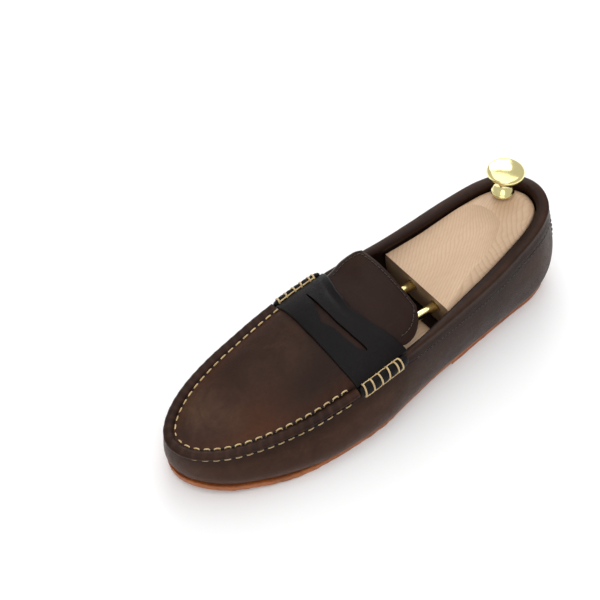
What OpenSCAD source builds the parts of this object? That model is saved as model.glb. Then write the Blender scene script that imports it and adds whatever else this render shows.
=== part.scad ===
// Moccasin, left shoe, with its twin-tube shoe tree. Toe is +X, the outer side is +Y, ground is z = 0.
// Lengths are in mm. The working frame has the heel at x = 0; the whole part is moved at the end so that
// the middle of its footprint is the origin.

/* [Upper] */
// thickness of the upper leather
hide_t = 1.8; // [1.2:0.1:2.0]
// thickness of the lining leather
lining_t = 1.0; // [0.6:0.1:1.1]
// height of the rounded dome between the two sides of the toe seam
crown_h = 13; // [9:0.5:15]
// width of the folded collar band
collar_w = 12; // [8:0.5:15]
// half width of the raised toe seam
ridge_r = 3.1; // [2.4:0.1:3.6]

/* [Seams] */
// distance from one toe stitch to the next
stitch_pitch = 6.3; // [5:0.1:9]
// thread radius of the toe seam
thread_r = 0.55; // [0.4:0.05:0.7]

/* [Sole] */
// thickness of the rubber sole
sole_t = 3.6; // [3:0.1:5]
// thickness of the extra heel layer
lift_t = 2.6; // [1.5:0.1:3.5]
// how far the rubber stands out past the upper round the toe
sole_lip = 1.2; // [0.4:0.1:2.5]

/* [Shoe tree] */
// radius of each sliding tube
tube_r = 3; // [2.6:0.1:3.2]
// radius of the pull knob
knob_r = 12; // [9:0.5:13]

/* [Output] */
// which node to draw, or all

/* [Hidden] */
ox = 147; oy = 1.4;
gap = 0.2;
// control stations, heel centre first, then the inner side to the toe and back along the outer side:
// sole edge x, sole edge y, top edge x, y, z
sta = [
 [2,0,13,0,72],[5,-12.5,16,-10.5,71.5],[14,-22.5,23,-19.5,70],[30,-29.5,36.5,-26,67],[55,-33.5,57,-29.5,62.5],
 [85,-35,84,-31,58.5],[115,-37.5,111,-32,56],[140,-40,134,-32.5,55.5],[160,-43,153,-33,55],[180,-46,171,-33.5,53],
 [198,-48,189,-33.5,50],[215,-48,206,-33,46.5],[233,-45,224,-31,43.5],[251,-39.5,245,-27.5,41],[269,-31,265,-21.5,39],
 [283,-20,281,-12.5,38],[291.5,-6,290.5,-2,37.5],[292.5,6,291.5,8.5,37],[287,17.5,284.5,19.5,36.5],[274.5,29,269,29.5,36.5],
 [255.5,38,247,36.5,37.5],[235,45,223,41,39.5],[214,49,202,43,42.5],[192,50,185,44,45.5],[172,49,167,44,48.5],
 [152,45.5,148,43.6,50.5],[130,42,130,41.4,50.8],[105,38.6,105,38,51.8],[80,35.2,80,34.3,54.4],[55,32.2,56,30.6,59.6],
 [29,29.2,35.4,26.6,65.8],[12.8,22.3,21.8,19.8,69.4],[3.9,12.2,14.9,10.5,71.2]];
ns = len(sta);
up = [0,0,1];
leather = [0.24,0.16,0.12]; dark = [0.07,0.06,0.06]; crepe = [0.62,0.29,0.10]; thread = [0.86,0.76,0.55];
wood = [0.84,0.71,0.54]; gold = [0.85,0.68,0.32]; tan_c = [0.66,0.50,0.34];

// ---------- shared curves ----------
function cr4(a,b,c,d,t) = 0.5*(2*b+(c-a)*t+(2*a-5*b+4*c-d)*t*t+(3*b-a-3*c+d)*t*t*t);
function ring(s) = let(i = floor(s), t = s-i)
  cr4(sta[(i-1+2*ns)%ns], sta[(i+2*ns)%ns], sta[(i+1+2*ns)%ns], sta[(i+2+2*ns)%ns], t);
function unit2(v) = v/norm(v);
function out2(s) = let(d = ring(s+0.2)-ring(s-0.2)) unit2([d[1],-d[0]]);
function tan2(s) = let(d = ring(s+0.2)-ring(s-0.2)) unit2([d[2],d[3],d[4]]);
function top3(s) = let(r = ring(s)) [r[2],r[3],r[4]];
function p3(v,z) = [v[0],v[1],z];
function ramp(x,a,b) = let(t = max(0,min(1,(x-a)/(b-a)))) t*t*(3-2*t);
// underside of the rubber: on the heel layer at the back, on the ground at the ball, lifted at the toe
function zb(x) = (lift_t+0.05)*(1-ramp(x,114,166)) + 6.5*pow(max(0,x-205)/88,2);
function zt(x) = zb(x)+sole_t;
function crown(x) = crown_h/13*lookup(x,[[120,16],[150,15],[190,13],[230,9.5],[262,6],[280,3.5],[292,1.5]]);
function bul(x) = 5.5+2*ramp(x,100,180)-3.8*ramp(x,250,290);
// one point of the wall: v from -1 (turned-in margin) through 0 (feather edge) to 1 (top edge), d = depth below the outer face
function wall(s,v,d) = let(r = ring(s), n = out2(s), S = [r[0],r[1]]-n*d, T = [r[2],r[3]]-n*d, e = max(0,d))
  v < 0 ? let(M = S-n*(2.2+(7.5-d)*-v)) p3(M,zt(M[0])+0.15+e) :
  v < 0.02 ? let(M = S-n*0.5) p3(M,zt(M[0])+e*0.9+0.5) :
  let(B0 = p3(S+n*0.6,zt(r[0])+2.5+e*0.3), h = r[4]-B0[2], B1 = B0+p3(n*bul(r[0]),0.35*h), B3 = p3(T,r[4]), B2 = B3+p3(n*bul(r[0])*0.5,-0.3*h),
      t = (v-0.02)/0.98)
  B0*pow(1-t,3)+B1*3*t*pow(1-t,2)+B2*3*t*t*(1-t)+B3*pow(t,3);
// 1 along the toe seam, 0 along the collar
function front(s) = ramp(s,7.9,8.6)*(1-ramp(s,24.3,25));
// dome between the seams: k from 0 (instep) to 1 (toe), q from 0 (inner side) to 1 (outer side)
function dome(k,q,o) = let(F = top3(8+8.5*k), N = top3(25-8.5*k), P = F+(N-F)*q)
  P+up*(crown(P[0])*pow(max(0,1-pow(2*q-1,2)),0.8)+o);

// across-position that lies a given distance inside the seam line
function in_q(k,mm) = let(w = norm(top3(25-8.5*k)-top3(8+8.5*k))) min(0.45,mm/w);
function dome_row(k,mm,n,o) = let(a = in_q(k,mm)) [for (q=span(a,1-a,n)) dome(k,q,o)];
function edge_mm(k) = 3.3-1.3*(1-ramp(k,0.265,0.29));

// ---------- shared solids ----------
function flat(L) = [for (r = L) each r];
// closed solid between two grids A (outside) and B (inside) of the same size
module shell(A,B,loop=false) {
  m = len(A); n = len(A[0]); o = m*n; e = loop ? m : m-1;
  function id(i,j) = (i%m)*n+j;
  polyhedron(points = concat(flat(A),flat(B)), convexity = 8, faces = concat(
    [for (i=[0:e-1]) for (j=[0:n-2]) each [[id(i,j),id(i+1,j+1),id(i+1,j)],[id(i,j),id(i,j+1),id(i+1,j+1)]]],
    [for (i=[0:e-1]) for (j=[0:n-2]) each [[o+id(i,j),o+id(i+1,j),o+id(i+1,j+1)],[o+id(i,j),o+id(i+1,j+1),o+id(i,j+1)]]],
    [for (i=[0:e-1]) each [[id(i,0),o+id(i+1,0),o+id(i,0)],[id(i,0),id(i+1,0),o+id(i+1,0)]]],
    [for (i=[0:e-1]) each [[id(i,n-1),o+id(i,n-1),o+id(i+1,n-1)],[id(i,n-1),o+id(i+1,n-1),id(i+1,n-1)]]],
    loop ? [] : [for (j=[0:n-2]) each [[id(0,j),o+id(0,j+1),id(0,j+1)],[id(0,j),o+id(0,j),o+id(0,j+1)]]],
    loop ? [] : [for (j=[0:n-2]) each [[id(m-1,j),id(m-1,j+1),o+id(m-1,j+1)],[id(m-1,j),o+id(m-1,j+1),o+id(m-1,j)]]]));
}
// closed solid through rings of points, each ring closed, with fan caps
module loft(R) {
  m = len(R); n = len(R[0]);
  function mid(L) = [for (i=[0:2]) let(s=[for (p=L) p[i]]) (s*[for (p=L) 1])/len(L)];
  polyhedron(points = concat(flat(R),[mid(R[0]),mid(R[m-1])]), convexity = 8, faces = concat(
    [for (i=[0:m-2]) for (j=[0:n-1]) let(k=(j+1)%n) each [[i*n+j,i*n+n+k,i*n+n+j],[i*n+j,i*n+k,i*n+n+k]]],
    [for (j=[0:n-1]) [m*n,(j+1)%n,j]],
    [for (j=[0:n-1]) [m*n+1,(m-1)*n+j,(m-1)*n+(j+1)%n]]));
}
// rounded bar along a list of points with a fixed side direction for each point; w = half width, h = half height
function bar_ring(P,N,U,w,h,n) = [for (j=[0:n-1]) let(a=360*j/n) P+N*(w*cos(a))+U*(h*sin(a))];
// short round stitch between two points
module stitch(a,b,r) {
  v = b-a; l = norm(v);
  translate(a) rotate([0,acos(v[2]/l),atan2(v[1],v[0])]) cylinder(r=r,h=l,$fn=16);
}
function span(a,b,n) = [for (i=[0:n]) a+(b-a)*i/n];
// plate that follows the sole outline: inset i, levels from zb+lo to zb+hi, k from heel to toe
function plate_grid(i,z,k0,k1,n) = [for (k=span(k0,k1,n)) let(F=ring(16.5*k), N=ring(33-16.5*k), f=[F[0],F[1]]-out2(16.5*k)*i, g=[N[0],N[1]]-out2(33-16.5*k)*i)
  [for (q=span(0,1,4)) let(p=f+(g-f)*q) p3(p,zb(p[0])+z)]];
module plate(i,lo,hi,k0,k1,n) { shell(plate_grid(i,hi,k0,k1,n),plate_grid(i,lo,k0,k1,n)); }

// ---------- sole ----------
// the rubber shows round the toe and is tucked under the upper behind it
function lip(s) = -1.2+(1.2+sole_lip)*ramp(s,10,13.5)*(1-ramp(s,20.5,22.5));
function sole_grid(z) = [for (k=span(0.012,0.988,50)) let(a=16.5*k, F=ring(a), N=ring(33-a), f=[F[0],F[1]]+out2(a)*lip(a), g=[N[0],N[1]]+out2(33-a)*lip(33-a))
  [for (q=span(0,1,4)) let(p=f+(g-f)*q) p3(p,zb(p[0])+z)]];
module crepe_outsole() { color(crepe) shell(sole_grid(sole_t),sole_grid(0)); }
module crepe_heel_lift() {
  f = [for (s=span(0,6.1,30)) let(r=ring(s)) [r[0],r[1]]+out2(s)*lip(s)];
  g = [for (s=span(26.4,32.8,30)) let(r=ring(s)) [r[0],r[1]]+out2(s)*lip(s)];
  // curved breast edge
  color(crepe) linear_extrude(lift_t) polygon(concat([[112,-30],[109,-15],[108,0],[108.5,16],[111,30]],g,f));
}
module sole_stitches() {
  color([0.92,0.9,0.84]) for (s=[7.6:0.33:25.2]) let(r=ring(s), n=out2(s), t=[-n[1],n[0]], c=[r[0],r[1]]-n*5.5, z=zb(r[0])+0.55)
    stitch(p3(c-t*1.8,z),p3(c+t*1.8,z),0.45);
}
module cork_filler() { color(tan_c) plate(11,sole_t+0.2,sole_t+1.8,0.03,0.965,28); }
module insole_board() { color(tan_c) plate(3.1,sole_t+2.4,sole_t+4.0,0.012,0.982,32); }
module sock_lining() { color(tan_c) plate(7.4,sole_t+4.2,sole_t+5.4,0.02,0.962,32); }

// ---------- upper ----------
heel_d = 1.35;
// the side panels lap over the heel panel: they step outwards by this much near their rear edges
function lap(s) = -0.9*(1-ramp(min(s,33-s),4.4,6.6));
vs = [-1,-0.001,0.02,0.16,0.34,0.52,0.7,0.85,1];
function side_s(i,v) = let(b=0.9+2.6*pow(1-max(0,v),1.3)) b+(33-2*b)*i;
module side_panel() {
  color(leather) shell([for (i=span(0,1,66)) [for (v=vs) let(s=side_s(i,v)) wall(s,min(v,1-0.065*front(s)),lap(s))]],
                       [for (i=span(0,1,66)) [for (v=vs) let(s=side_s(i,v)) wall(s,min(v,1-0.065*front(s)),lap(s)+hide_t)]]);
}
hv = [0.03,0.16,0.34,0.52,0.7,0.85,1];
module heel_panel() {
  color(leather) shell([for (s=span(-4.2,4.2,24)) [for (v=hv) wall(s,v,heel_d)]],[for (s=span(-4.2,4.2,24)) [for (v=hv) wall(s,v,heel_d+1.5)]]);
}
module heel_counter() {
  color(tan_c) shell([for (s=span(-5.2,5.2,22)) [for (v=span(0.16,0.8,4)) wall(s,v,2.95)]],[for (s=span(-5.2,5.2,22)) [for (v=span(0.16,0.8,4)) wall(s,v,3.85)]]);
}
module toe_puff() {
  color(tan_c) shell([for (s=span(13.2,19.8,20)) [for (v=span(0.22,0.86,3)) wall(s,v,2.1)]],[for (s=span(13.2,19.8,20)) [for (v=span(0.22,0.86,3)) wall(s,v,3)]]);
}
// lining lies on the leather, and on the stiffeners at heel and toe
function lin_d(s) = let(h=min(s,33-s)) 2.1+1.95*(1-ramp(h,5.2,7.5))+1.2*ramp(h,11.6,13);
module quarter_lining() {
  color(tan_c) shell([for (i=span(0,33-33/60,59)) [for (v=span(0.14,0.985-0.1*front(i),5)) wall(i,v,lin_d(i))]],
                     [for (i=span(0,33-33/60,59)) [for (v=span(0.14,0.985-0.1*front(i),5)) wall(i,v,lin_d(i)+lining_t)]],true);
}
module toe_plug() {
  color(leather) shell([for (k=span(0.12,0.95,30)) dome_row(k,edge_mm(k),12,0)],[for (k=span(0.12,0.95,30)) dome_row(k,edge_mm(k),12,-hide_t)]);
}
module plug_lining() {
  color(tan_c) shell([for (k=span(0.19,0.92,20)) dome_row(k,6,8,-hide_t-0.2)],[for (k=span(0.19,0.92,20)) dome_row(k,6,8,-hide_t-0.2-lining_t)]);
}
// tongue: rows from under the strap back to the free rear edge
tng = [[0.16,0.07,0.93,-2.1,0],[0.12,0.07,0.93,-2.1,0],[0.085,0.07,0.93,-0.7,0],[0.05,0.07,0.93,-0.3,0.05],[0.01,0.065,0.945,0,0.2],
 [-0.03,0.05,0.935,0.3,0.45],[-0.065,0.065,0.9,0.4,0.7],[-0.09,0.09,0.85,0.5,0.88],[-0.105,0.13,0.79,0.6,1]];
function tongue_pt(r,q,o) = let(t=r[1]+(r[2]-r[1])*q, P=dome(r[0],t,r[3]+o))
  // the free end lifts away from the foot on the inner side
  P+up*(r[4]*(11.5*pow(max(0,1-t/0.75),1.6)));
function trow(i) = let(a=floor(i), t=i-a) a >= len(tng)-1 ? tng[len(tng)-1] : tng[a]*(1-t)+tng[a+1]*t;
module tongue() {
  color(leather) shell([for (i=span(0,8,16)) [for (q=span(0,1,10)) tongue_pt(trow(i),q,-1.5)]],[for (i=span(0,8,16)) [for (q=span(0,1,10)) tongue_pt(trow(i),q,0)]]);
}
module tongue_lining() {
  color([0.42,0.2,0.12]) shell([for (i=span(0,7.9,14)) [for (q=span(0.03,0.97,8)) tongue_pt(trow(i),q,-2.6)]],[for (i=span(0,7.9,14)) [for (q=span(0.03,0.97,8)) tongue_pt(trow(i),q,-1.75)]]);
}
// saddle strap with its brace-shaped slot
function strap_rear(q) = lookup(q,[[0,0.035],[0.06,0.04],[0.3,0.085],[0.5,0.105],[0.69,0.09],[0.85,0.06],[1,0.035]]);
function strap_front(q) = lookup(q,[[0,0.262],[0.15,0.268],[0.41,0.283],[0.61,0.286],[0.81,0.282],[1,0.268]]);
function strap_pt(i,q,o) = let(k=strap_rear(q)+(strap_front(q)-strap_rear(q))*i) dome(k,q,o+0.5*(1-ramp(k,0.06,0.12)));
slot = [[177,-22.6],[178,-6.2],[178,7.5],[176.3,19.5],[173.8,30.5],[175,31.5],[178.3,27.4],[180.6,18.8],[182.1,9.4],[184.8,1.6],[182.3,-4.7],[179,-14.4],[177.9,-21.8]];
module saddle_strap() {
  color(dark) difference() {
    shell([for (i=span(0,1,8)) [for (q=span(0.016,0.984,20)) strap_pt(i,q,1.9)]],[for (i=span(0,1,8)) [for (q=span(0.016,0.984,20)) strap_pt(i,q,0.2)]]);
    translate([0,0,40]) linear_extrude(40) polygon(slot);
  }
}
// raised seam round the toe
function ridge_sec(s,w,h,c) = let(n=p3(out2(s),0)) bar_ring(top3(s)+n*0.3+up*c,n,up,w,h,8);
module toe_seam_ridge() { color(leather) loft([for (s=span(10.28,22.62,56)) ridge_sec(s,ridge_r,2.1,0.9)]); }
// rolled ends of the strap: flat oval rolls that lean against the side panels
function roll_n(s) = p3(out2(s)*0.94,0.35);
function roll_u(s) = p3(out2(s)*-0.35,0.94);
function roll_c(s) = top3(s)+p3(out2(s)*1.75,0.3);
module beef_roll(a,b) { color(dark) loft([for (t=span(0,1,18)) let(s=a+(b-a)*t, e=pow(max(0.02,1-pow(2*t-1,6)),0.5)) bar_ring(roll_c(s),roll_n(s),roll_u(s),2.1*e,3.8*e,12)]); }
module beef_roll_inner() { beef_roll(8.3,10.25); }
module beef_roll_outer() { beef_roll(22.65,24.6); }
function seam_len(s) = norm(top3(s+0.05)-top3(s-0.05))/0.1;
// stations spaced by the stitch pitch, found step by step from a start station
function walk(s,e,p) = s > e ? [] : concat([s],walk(s+p/seam_len(s),e,p));
inner_row = walk(10.35,22.5,stitch_pitch);
// height of the plug beside the seam
function plug_z(s,mm) = let(k=min(0.955,s<16.5 ? (s-8)/8.5 : (25-s)/8.5), q=in_q(k,mm)) dome(k,s<16.5 ? q : 1-q,0)[2];
module toe_seam_stitches() {
  color(thread) for (s=inner_row) let(n=p3(out2(s),0), t=tan2(s), c0=top3(s)-n*3.4, c=[c0[0],c0[1],plug_z(s,3.4)+0.2], d=wall(s,0.875,-0.1)) {
    stitch(c-t*1.9,c+t*1.9,thread_r);
    stitch(d-t*1.9,d+t*1.9,thread_r);
  }
}
function roll_d(s,w) = roll_n(s)*(2.25*sin(w))+roll_u(s)*(3.95*cos(w));
module roll_hoops(a,b) {
  for (i=[0:5]) let(s=a+(b-a)*(i<5 ? i*0.205 : 0.93), t=tan2(s))
    loft([for (w=span(152,-22,8)) bar_ring(roll_c(s)+roll_d(s,w),t,unit2(roll_d(s,w)),0.5,0.5,6)]);
}
module roll_rails(a,b) {
  for (i=[0:3]) for (w=[-22,150]) let(m=0.02, s=a+(b-a)*(i+0.17)*0.205, e=a+(b-a)*(i+0.83)*0.205) stitch(roll_c(s)+roll_d(s,w),roll_c(e)+roll_d(e,w),0.5);
}
module beef_roll_stitches() { color(thread) { roll_hoops(10.05,8.5); roll_rails(10.05,8.5); roll_hoops(22.85,24.4); roll_rails(22.85,24.4); } }
// collar band folded over the top edge
// its width and thickness fall towards the rolls
function cw(s) = collar_w*(1-0.42*ramp(abs(s),3.5,8.2));
function ct(s) = 1.05-0.4*ramp(abs(s),6.2,8.1);
function collar_out(s) = let(n=p3(out2(s),0), P=top3(s), L=norm(P-wall(s,0.5,0)), W=function(m) wall(s,1-min(0.4,0.5*m/L),lap(s)-ct(s)))
  [W(cw(s)),W(cw(s)*0.66),W(cw(s)*0.33),W(1),P+n*(ct(s)-0.35-lap(s))+up*1.1, P-n*1+up*1.7, P-n*(lin_d(s)+lining_t+0.8)+up*1.1, wall(s,0.94,lin_d(s)+lining_t+1.05),wall(s,0.84,lin_d(s)+lining_t+1.05)];
function collar_in(s) = let(n=p3(out2(s),0), P=top3(s), L=norm(P-wall(s,0.5,0)), W=function(m) wall(s,1-min(0.4,0.5*m/L),lap(s)-0.15))
  [W(cw(s)),W(cw(s)*0.66),W(cw(s)*0.33),W(1),P+n*(0.15-lap(s))+up*0.25, P-n*1+up*0.6, P-n*(lin_d(s)+lining_t+0.15)+up*0.25, wall(s,0.94,lin_d(s)+lining_t+0.15),wall(s,0.84,lin_d(s)+lining_t+0.15)];
module collar_binding() { color(leather) shell([for (s=span(-8.25,8.1,46)) collar_out(s)],[for (s=span(-8.25,8.1,46)) collar_in(s)]); }
// gathered seam at the centre back
seam_s = -0.8;
module heel_seam() {
  n = p3(out2(seam_s),0); a = [-n[1],n[0],0];
  function fin(y,o) = [for (v=span(0.1,0.74,12)) let(P=wall(seam_s,v,heel_d)) [P-n*0.6+a*y, P+n*(o*(1-pow(2*(v-0.42)/0.64,6)*0.7))+a*(0.7*y)]];
  color(dark) shell(fin(1.7,3.8),fin(-1.7,3.8));
}
module heel_seam_stitches() {
  n = p3(out2(seam_s),0); a = [-n[1],n[0],0];
  color(thread) for (v=[0.16:0.085:0.7]) let(P=wall(seam_s,v,heel_d)+n*1.2) stitch(P-a*1.9,P+a*1.9,0.5);
}

// ---------- shoe tree ----------
ty1 = -3.5; ty2 = 18.5; tz = 39.6;   // axes of the two tubes
split_y = 25.5;  // plane between the two toe sections
// half outline of the space inside the lining at working x, from the wall at height share v
function inner_y(x,z,side) = let(s=side<0 ? s_far(x) : s_near(x), r=ring(s), v=max(0.12,min(0.97,(z-zt(r[0])-2.5)/(r[4]-zt(r[0])-2.5))))
  wall(s,v,lin_d(s)+lining_t+3);
function s_far(x) = lookup(x,[[2,0],[5,1],[14,2],[30,3],[55,4],[85,5],[115,6],[140,7],[160,8],[180,9],[198,10],[215,11],[233,12],[251,13],[269,14],[283,15],[291.5,16]]);
function s_near(x) = lookup(x,[[2,33],[5,32],[14,31],[30,30],[55,29],[80,28],[105,27],[130,26],[152,25],[172,24],[192,23],[214,22],[235,21],[255.5,20],[274.5,19],[287,18],[292.5,17]]);
// heel block: follows the lining all round; flat at the back and scooped at the front
function blk_d(s) = lin_d(s)+lining_t+2.15;
function blk_vt(s) = lookup(s,[[0,0.86],[1,0.9],[2,0.93],[3,0.945],[4,0.95],[4.6,0.92],[5,0.89],[7,0.88]]);
function blk_row(s) = let(vt=blk_vt(s), vb=0.3, F=function(v) wall(s,v,blk_d(s)), N=function(v) wall(33-s,v,blk_d(33-s)), f=F(vt), g=N(vt), fb=F(vb), gb=N(vb),
    zs=lookup(s,[[0,1],[2,3.2],[3,4],[3.7,5.6],[4.6,8.5],[7,9]]))
  concat([for (v=span(vb,vt,5)) F(v)],
         [for (q=span(0.1,0.9,8)) f+(g-f)*q+up*(zs*pow(sin(180*q),0.8)+0.4)],
         [for (v=span(vt,vb,5)) N(v)],
         [for (q=span(0.85,0.15,5)) fb+(gb-fb)*q-up*(2.5+ramp(s,0.5,2.5)*1.5)]);
hx = [36,42,46.7,48.5,51,54,57.5,61,66,71,77,84,92,104,124]; hy = [-50,-20,-6,2,7.4,12,17,22,27,33,52];
function hollow_z(x,y) = let(d=min(x-46.7, 0.677*(x-46.7)-0.736*(y-7.4))) min(100, 61.2-0.18*(x-46.7)+5.4*exp(min(3,-d/7)));
module tree_heel_block() {
  color(wood) difference() {
    loft([for (s=[0.28,0.5,0.8,1.2,1.6,2,2.5,3,3.5,4,4.5,5,5.5,6,6.4]) blk_row(s)]);
    // sloping front face
    translate([0,80,0]) rotate([90,0,0]) linear_extrude(160) polygon([[98.4,0],[112.6,52],[115,62],[115,90],[140,90],[140,0]]);
    for (y=[ty1,ty2]) translate([50,y,tz]) rotate([0,90,0]) { cylinder(r=tube_r+0.08,h=90,$fn=48); translate([0,0,48]) cylinder(r=tube_r+1.2,h=40,$fn=48); }
    translate([31.5,-9,46]) cylinder(r=2.6,h=60,$fn=40);
    // hollow in front of the flat rear: steep at its edge, which runs across and then slants towards the outer side
    shell([for (x=hx) [for (y=hy) [x,y,120]]],[for (x=hx) [for (y=hy) [x,y,hollow_z(x,y)]]]);
  }
}
module tree_knob() {
  color(gold) translate([31.5,-9,0]) rotate_extrude($fn=64) polygon([[0,48],[2.5,48],[2.5,knz],[7.4,knz],[7.4,knz+1.8],[6.6,knz+3.4],[4.6,knz+5.2],[3.6,knz+7.4],[3.6,knz+10.8],[5.4,knz+12.8],[9,knz+14.2],
    [knob_r-0.8,knz+15.2],[knob_r,knz+16.6],[knob_r-0.5,knz+18.2],[knob_r-2.4,knz+19.4],[knob_r*0.5,knz+20.3],[0,knz+20.6]]);
}
knz = 70.2;
// toe part: a main section that carries both tubes, and a loose outer section, split along their length
function toe_zh(x,side) = lookup(x,[[124,43],[135,49],[150,53],[170,54.5],[190,52],[215,47],[240,42],[262,37.5],[276,33]])-(side>0 ? 1 : 0);
toe_zl = [[124,25],[130,20],[150,17],[165,15],[205,14.2],[240,16.5],[276,24]];
toe_zs = [[124,35],[150,40],[170,39],[200,36],[230,33.5],[255,32],[276,30.5]];
function toe_main(x) = let(e=lookup(x,[[153,0.72],[157,0.86],[164,0.97],[172,1],[255,1],[266,0.93],[273,0.8],[276,0.62]]), zl=lookup(x,toe_zl)+lookup(x,[[153,5],[164,0]]), zs=lookup(x,toe_zs), zh=toe_zh(x,-1)-lookup(x,[[153,5],[164,0]]),
    p=function(z) 8+(inner_y(x,z,-1)[1]-8)*e, g=min(split_y-2.6, 8+(inner_y(x,zs,1)[1]-8)*e, lookup(x,[[153,15],[161,23]])))
  concat([for (t=span(0,1,3)) [x,g,zl+(zh-2-zl)*t]],
    [for (t=span(0.1,0.88,7)) [x,g+(p(zs)-g)*t,zh-2*pow(1-t,4)-(zh-zs)*pow(t,3)]],
    [for (t=span(0,1,4)) let(z=zs+(zl+3.5-zs)*t) [x,p(z),z]],
    [for (t=span(0.86,0.14,4)) [x,g+(p(zl+3.5)-g)*t,zl]]);
// the loose section has a low tail that runs back under the outer tube
function toe_side(x) = let(zl=lookup(x,toe_zl)+lookup(x,[[118,3],[126,0],[236,0],[254,5]]), zs=lookup(x,[[118,27],[126,30.4],[150,31.6],[170,38],[200,36],[230,33.5],[255,32]]),
    zh=lookup(x,[[118,29.5],[120,32.6],[124,34.2],[150,34.4],[160,38],[172,44],[190,44],[215,39.5],[236,35.5],[254,34]]),
    g=lookup(x,[[118,19.5],[119.5,17.2],[122,16],[146,16],[153,split_y+2.6],[260,split_y+2.6]]), e=lookup(x,[[118,0.62],[119.5,0.84],[122,0.95],[127,1],[236,1],[246,0.8],[254,0.4]]), p=function(z) g+max(0.8,(inner_y(x,z,1)[1]-g)*e))
  concat([for (t=span(0,1,3)) [x,g,zl+(zh-zl)*t]],
    [for (t=span(0.25,0.8,2)) [x,g+(p(zs)-g)*t,zh-(zh-zs)*pow(t,2)]],
    [for (t=span(0,1,4)) let(z=zs+(zl+3.5-zs)*t) [x,p(z),z]],
    [for (t=span(0.7,0.3,1)) [x,g+(p(zl+3.5)-g)*t,zl]]);
module tree_toe_main() {
  color(wood) difference() {
    loft([for (x=[153,155,158,161,166,172,180,190,200,210,220,230,240,249,257,264,270,276]) let(r=toe_main(x)) [for (i=[len(r)-1:-1:0]) r[i]]]);
    for (y=[ty1,ty2]) translate([100,y,tz]) rotate([0,90,0]) cylinder(r=tube_r+0.02,h=86,$fn=48);
    for (x=[pin_x1,pin_x2]) translate([x,split_y-19,pin_z]) rotate([-90,0,0]) cylinder(r=2.02,h=30,$fn=32);
    translate([spr_x,split_y-12,pin_z]) rotate([-90,0,0]) cylinder(r=3.2,h=20,$fn=32);
  }
}
module tree_toe_side() {
  color(wood) difference() {
    loft([for (x=[118,118.7,119.5,121,123.5,128,133,139,146,149.5,153,157,161,166,172,184,194,204,214,224,236,246,254]) toe_side(x)]);
    for (x=[pin_x1,pin_x2]) translate([x,split_y,pin_z]) rotate([-90,0,0]) cylinder(r=2.08,h=13.5,$fn=32);
    translate([spr_x,split_y,pin_z]) rotate([-90,0,0]) cylinder(r=3.2,h=7.5,$fn=32);
  }
}
pin_x1 = 178; pin_x2 = 228; pin_z = 25; spr_x = 203;
module tree_guide_pins() {
  color(gold) for (x=[pin_x1,pin_x2]) translate([x,split_y-18.5,pin_z]) rotate([-90,0,0]) cylinder(r=2,h=26.5,$fn=32);
}
module coil(r,w,l,turns,n) { loft([for (i=[0:turns*n]) let(a=360*i/n, p=[r*cos(a),r*sin(a),w+(l-2*w)*i/(turns*n)], e=[cos(a),sin(a),0]) [for (j=[0:3]) p+e*(w*cos(90*j))+up*(w*sin(90*j))]]); }
module tree_side_spring() { color([0.75,0.76,0.78]) translate([spr_x,split_y-11.9,pin_z]) rotate([-90,0,0]) coil(2.4,0.4,19.2,6,8); }
module tree_tube(y) {
  color(gold) translate([0,y,tz]) rotate([0,90,0]) difference() {
    translate([0,0,76]) cylinder(r=tube_r,h=109,$fn=48);
    translate([0,0,70]) cylinder(r=tube_r-0.5,h=60,$fn=48);
  }
}
module tree_tube_inner() { tree_tube(ty1); }
module tree_tube_outer() { tree_tube(ty2); }
module tree_spring(y) { color([0.75,0.76,0.78]) translate([50.3,y,tz]) rotate([0,90,0]) coil(1.95,0.35,79.4,14,8); }
module tree_spring_inner() { tree_spring(ty1); }
module tree_spring_outer() { tree_spring(ty2); }

translate([-ox,-oy,0]) {
  crepe_outsole();
  crepe_heel_lift();
  sole_stitches();
  cork_filler();
  insole_board();
  sock_lining();
  side_panel();
  heel_panel();
  heel_counter();
  toe_puff();
  quarter_lining();
  toe_plug();
  plug_lining();
  tongue();
  tongue_lining();
  saddle_strap();
  toe_seam_ridge();
  toe_seam_stitches();
  beef_roll_inner();
  beef_roll_outer();
  beef_roll_stitches();
  collar_binding();
  heel_seam();
  heel_seam_stitches();
  tree_heel_block();
  tree_knob();
  tree_tube_inner();
  tree_tube_outer();
  tree_spring_inner();
  tree_spring_outer();
  tree_toe_main();
  tree_toe_side();
  tree_guide_pins();
  tree_side_spring();
}
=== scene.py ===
# Moccasin (left shoe) with its shoe tree. The shape functions work in millimetres with the heel at x = 0;
# pt() turns them into the shared frame in metres.
import bpy, bmesh, math
import numpy as np
from mathutils import Vector, Matrix


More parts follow.
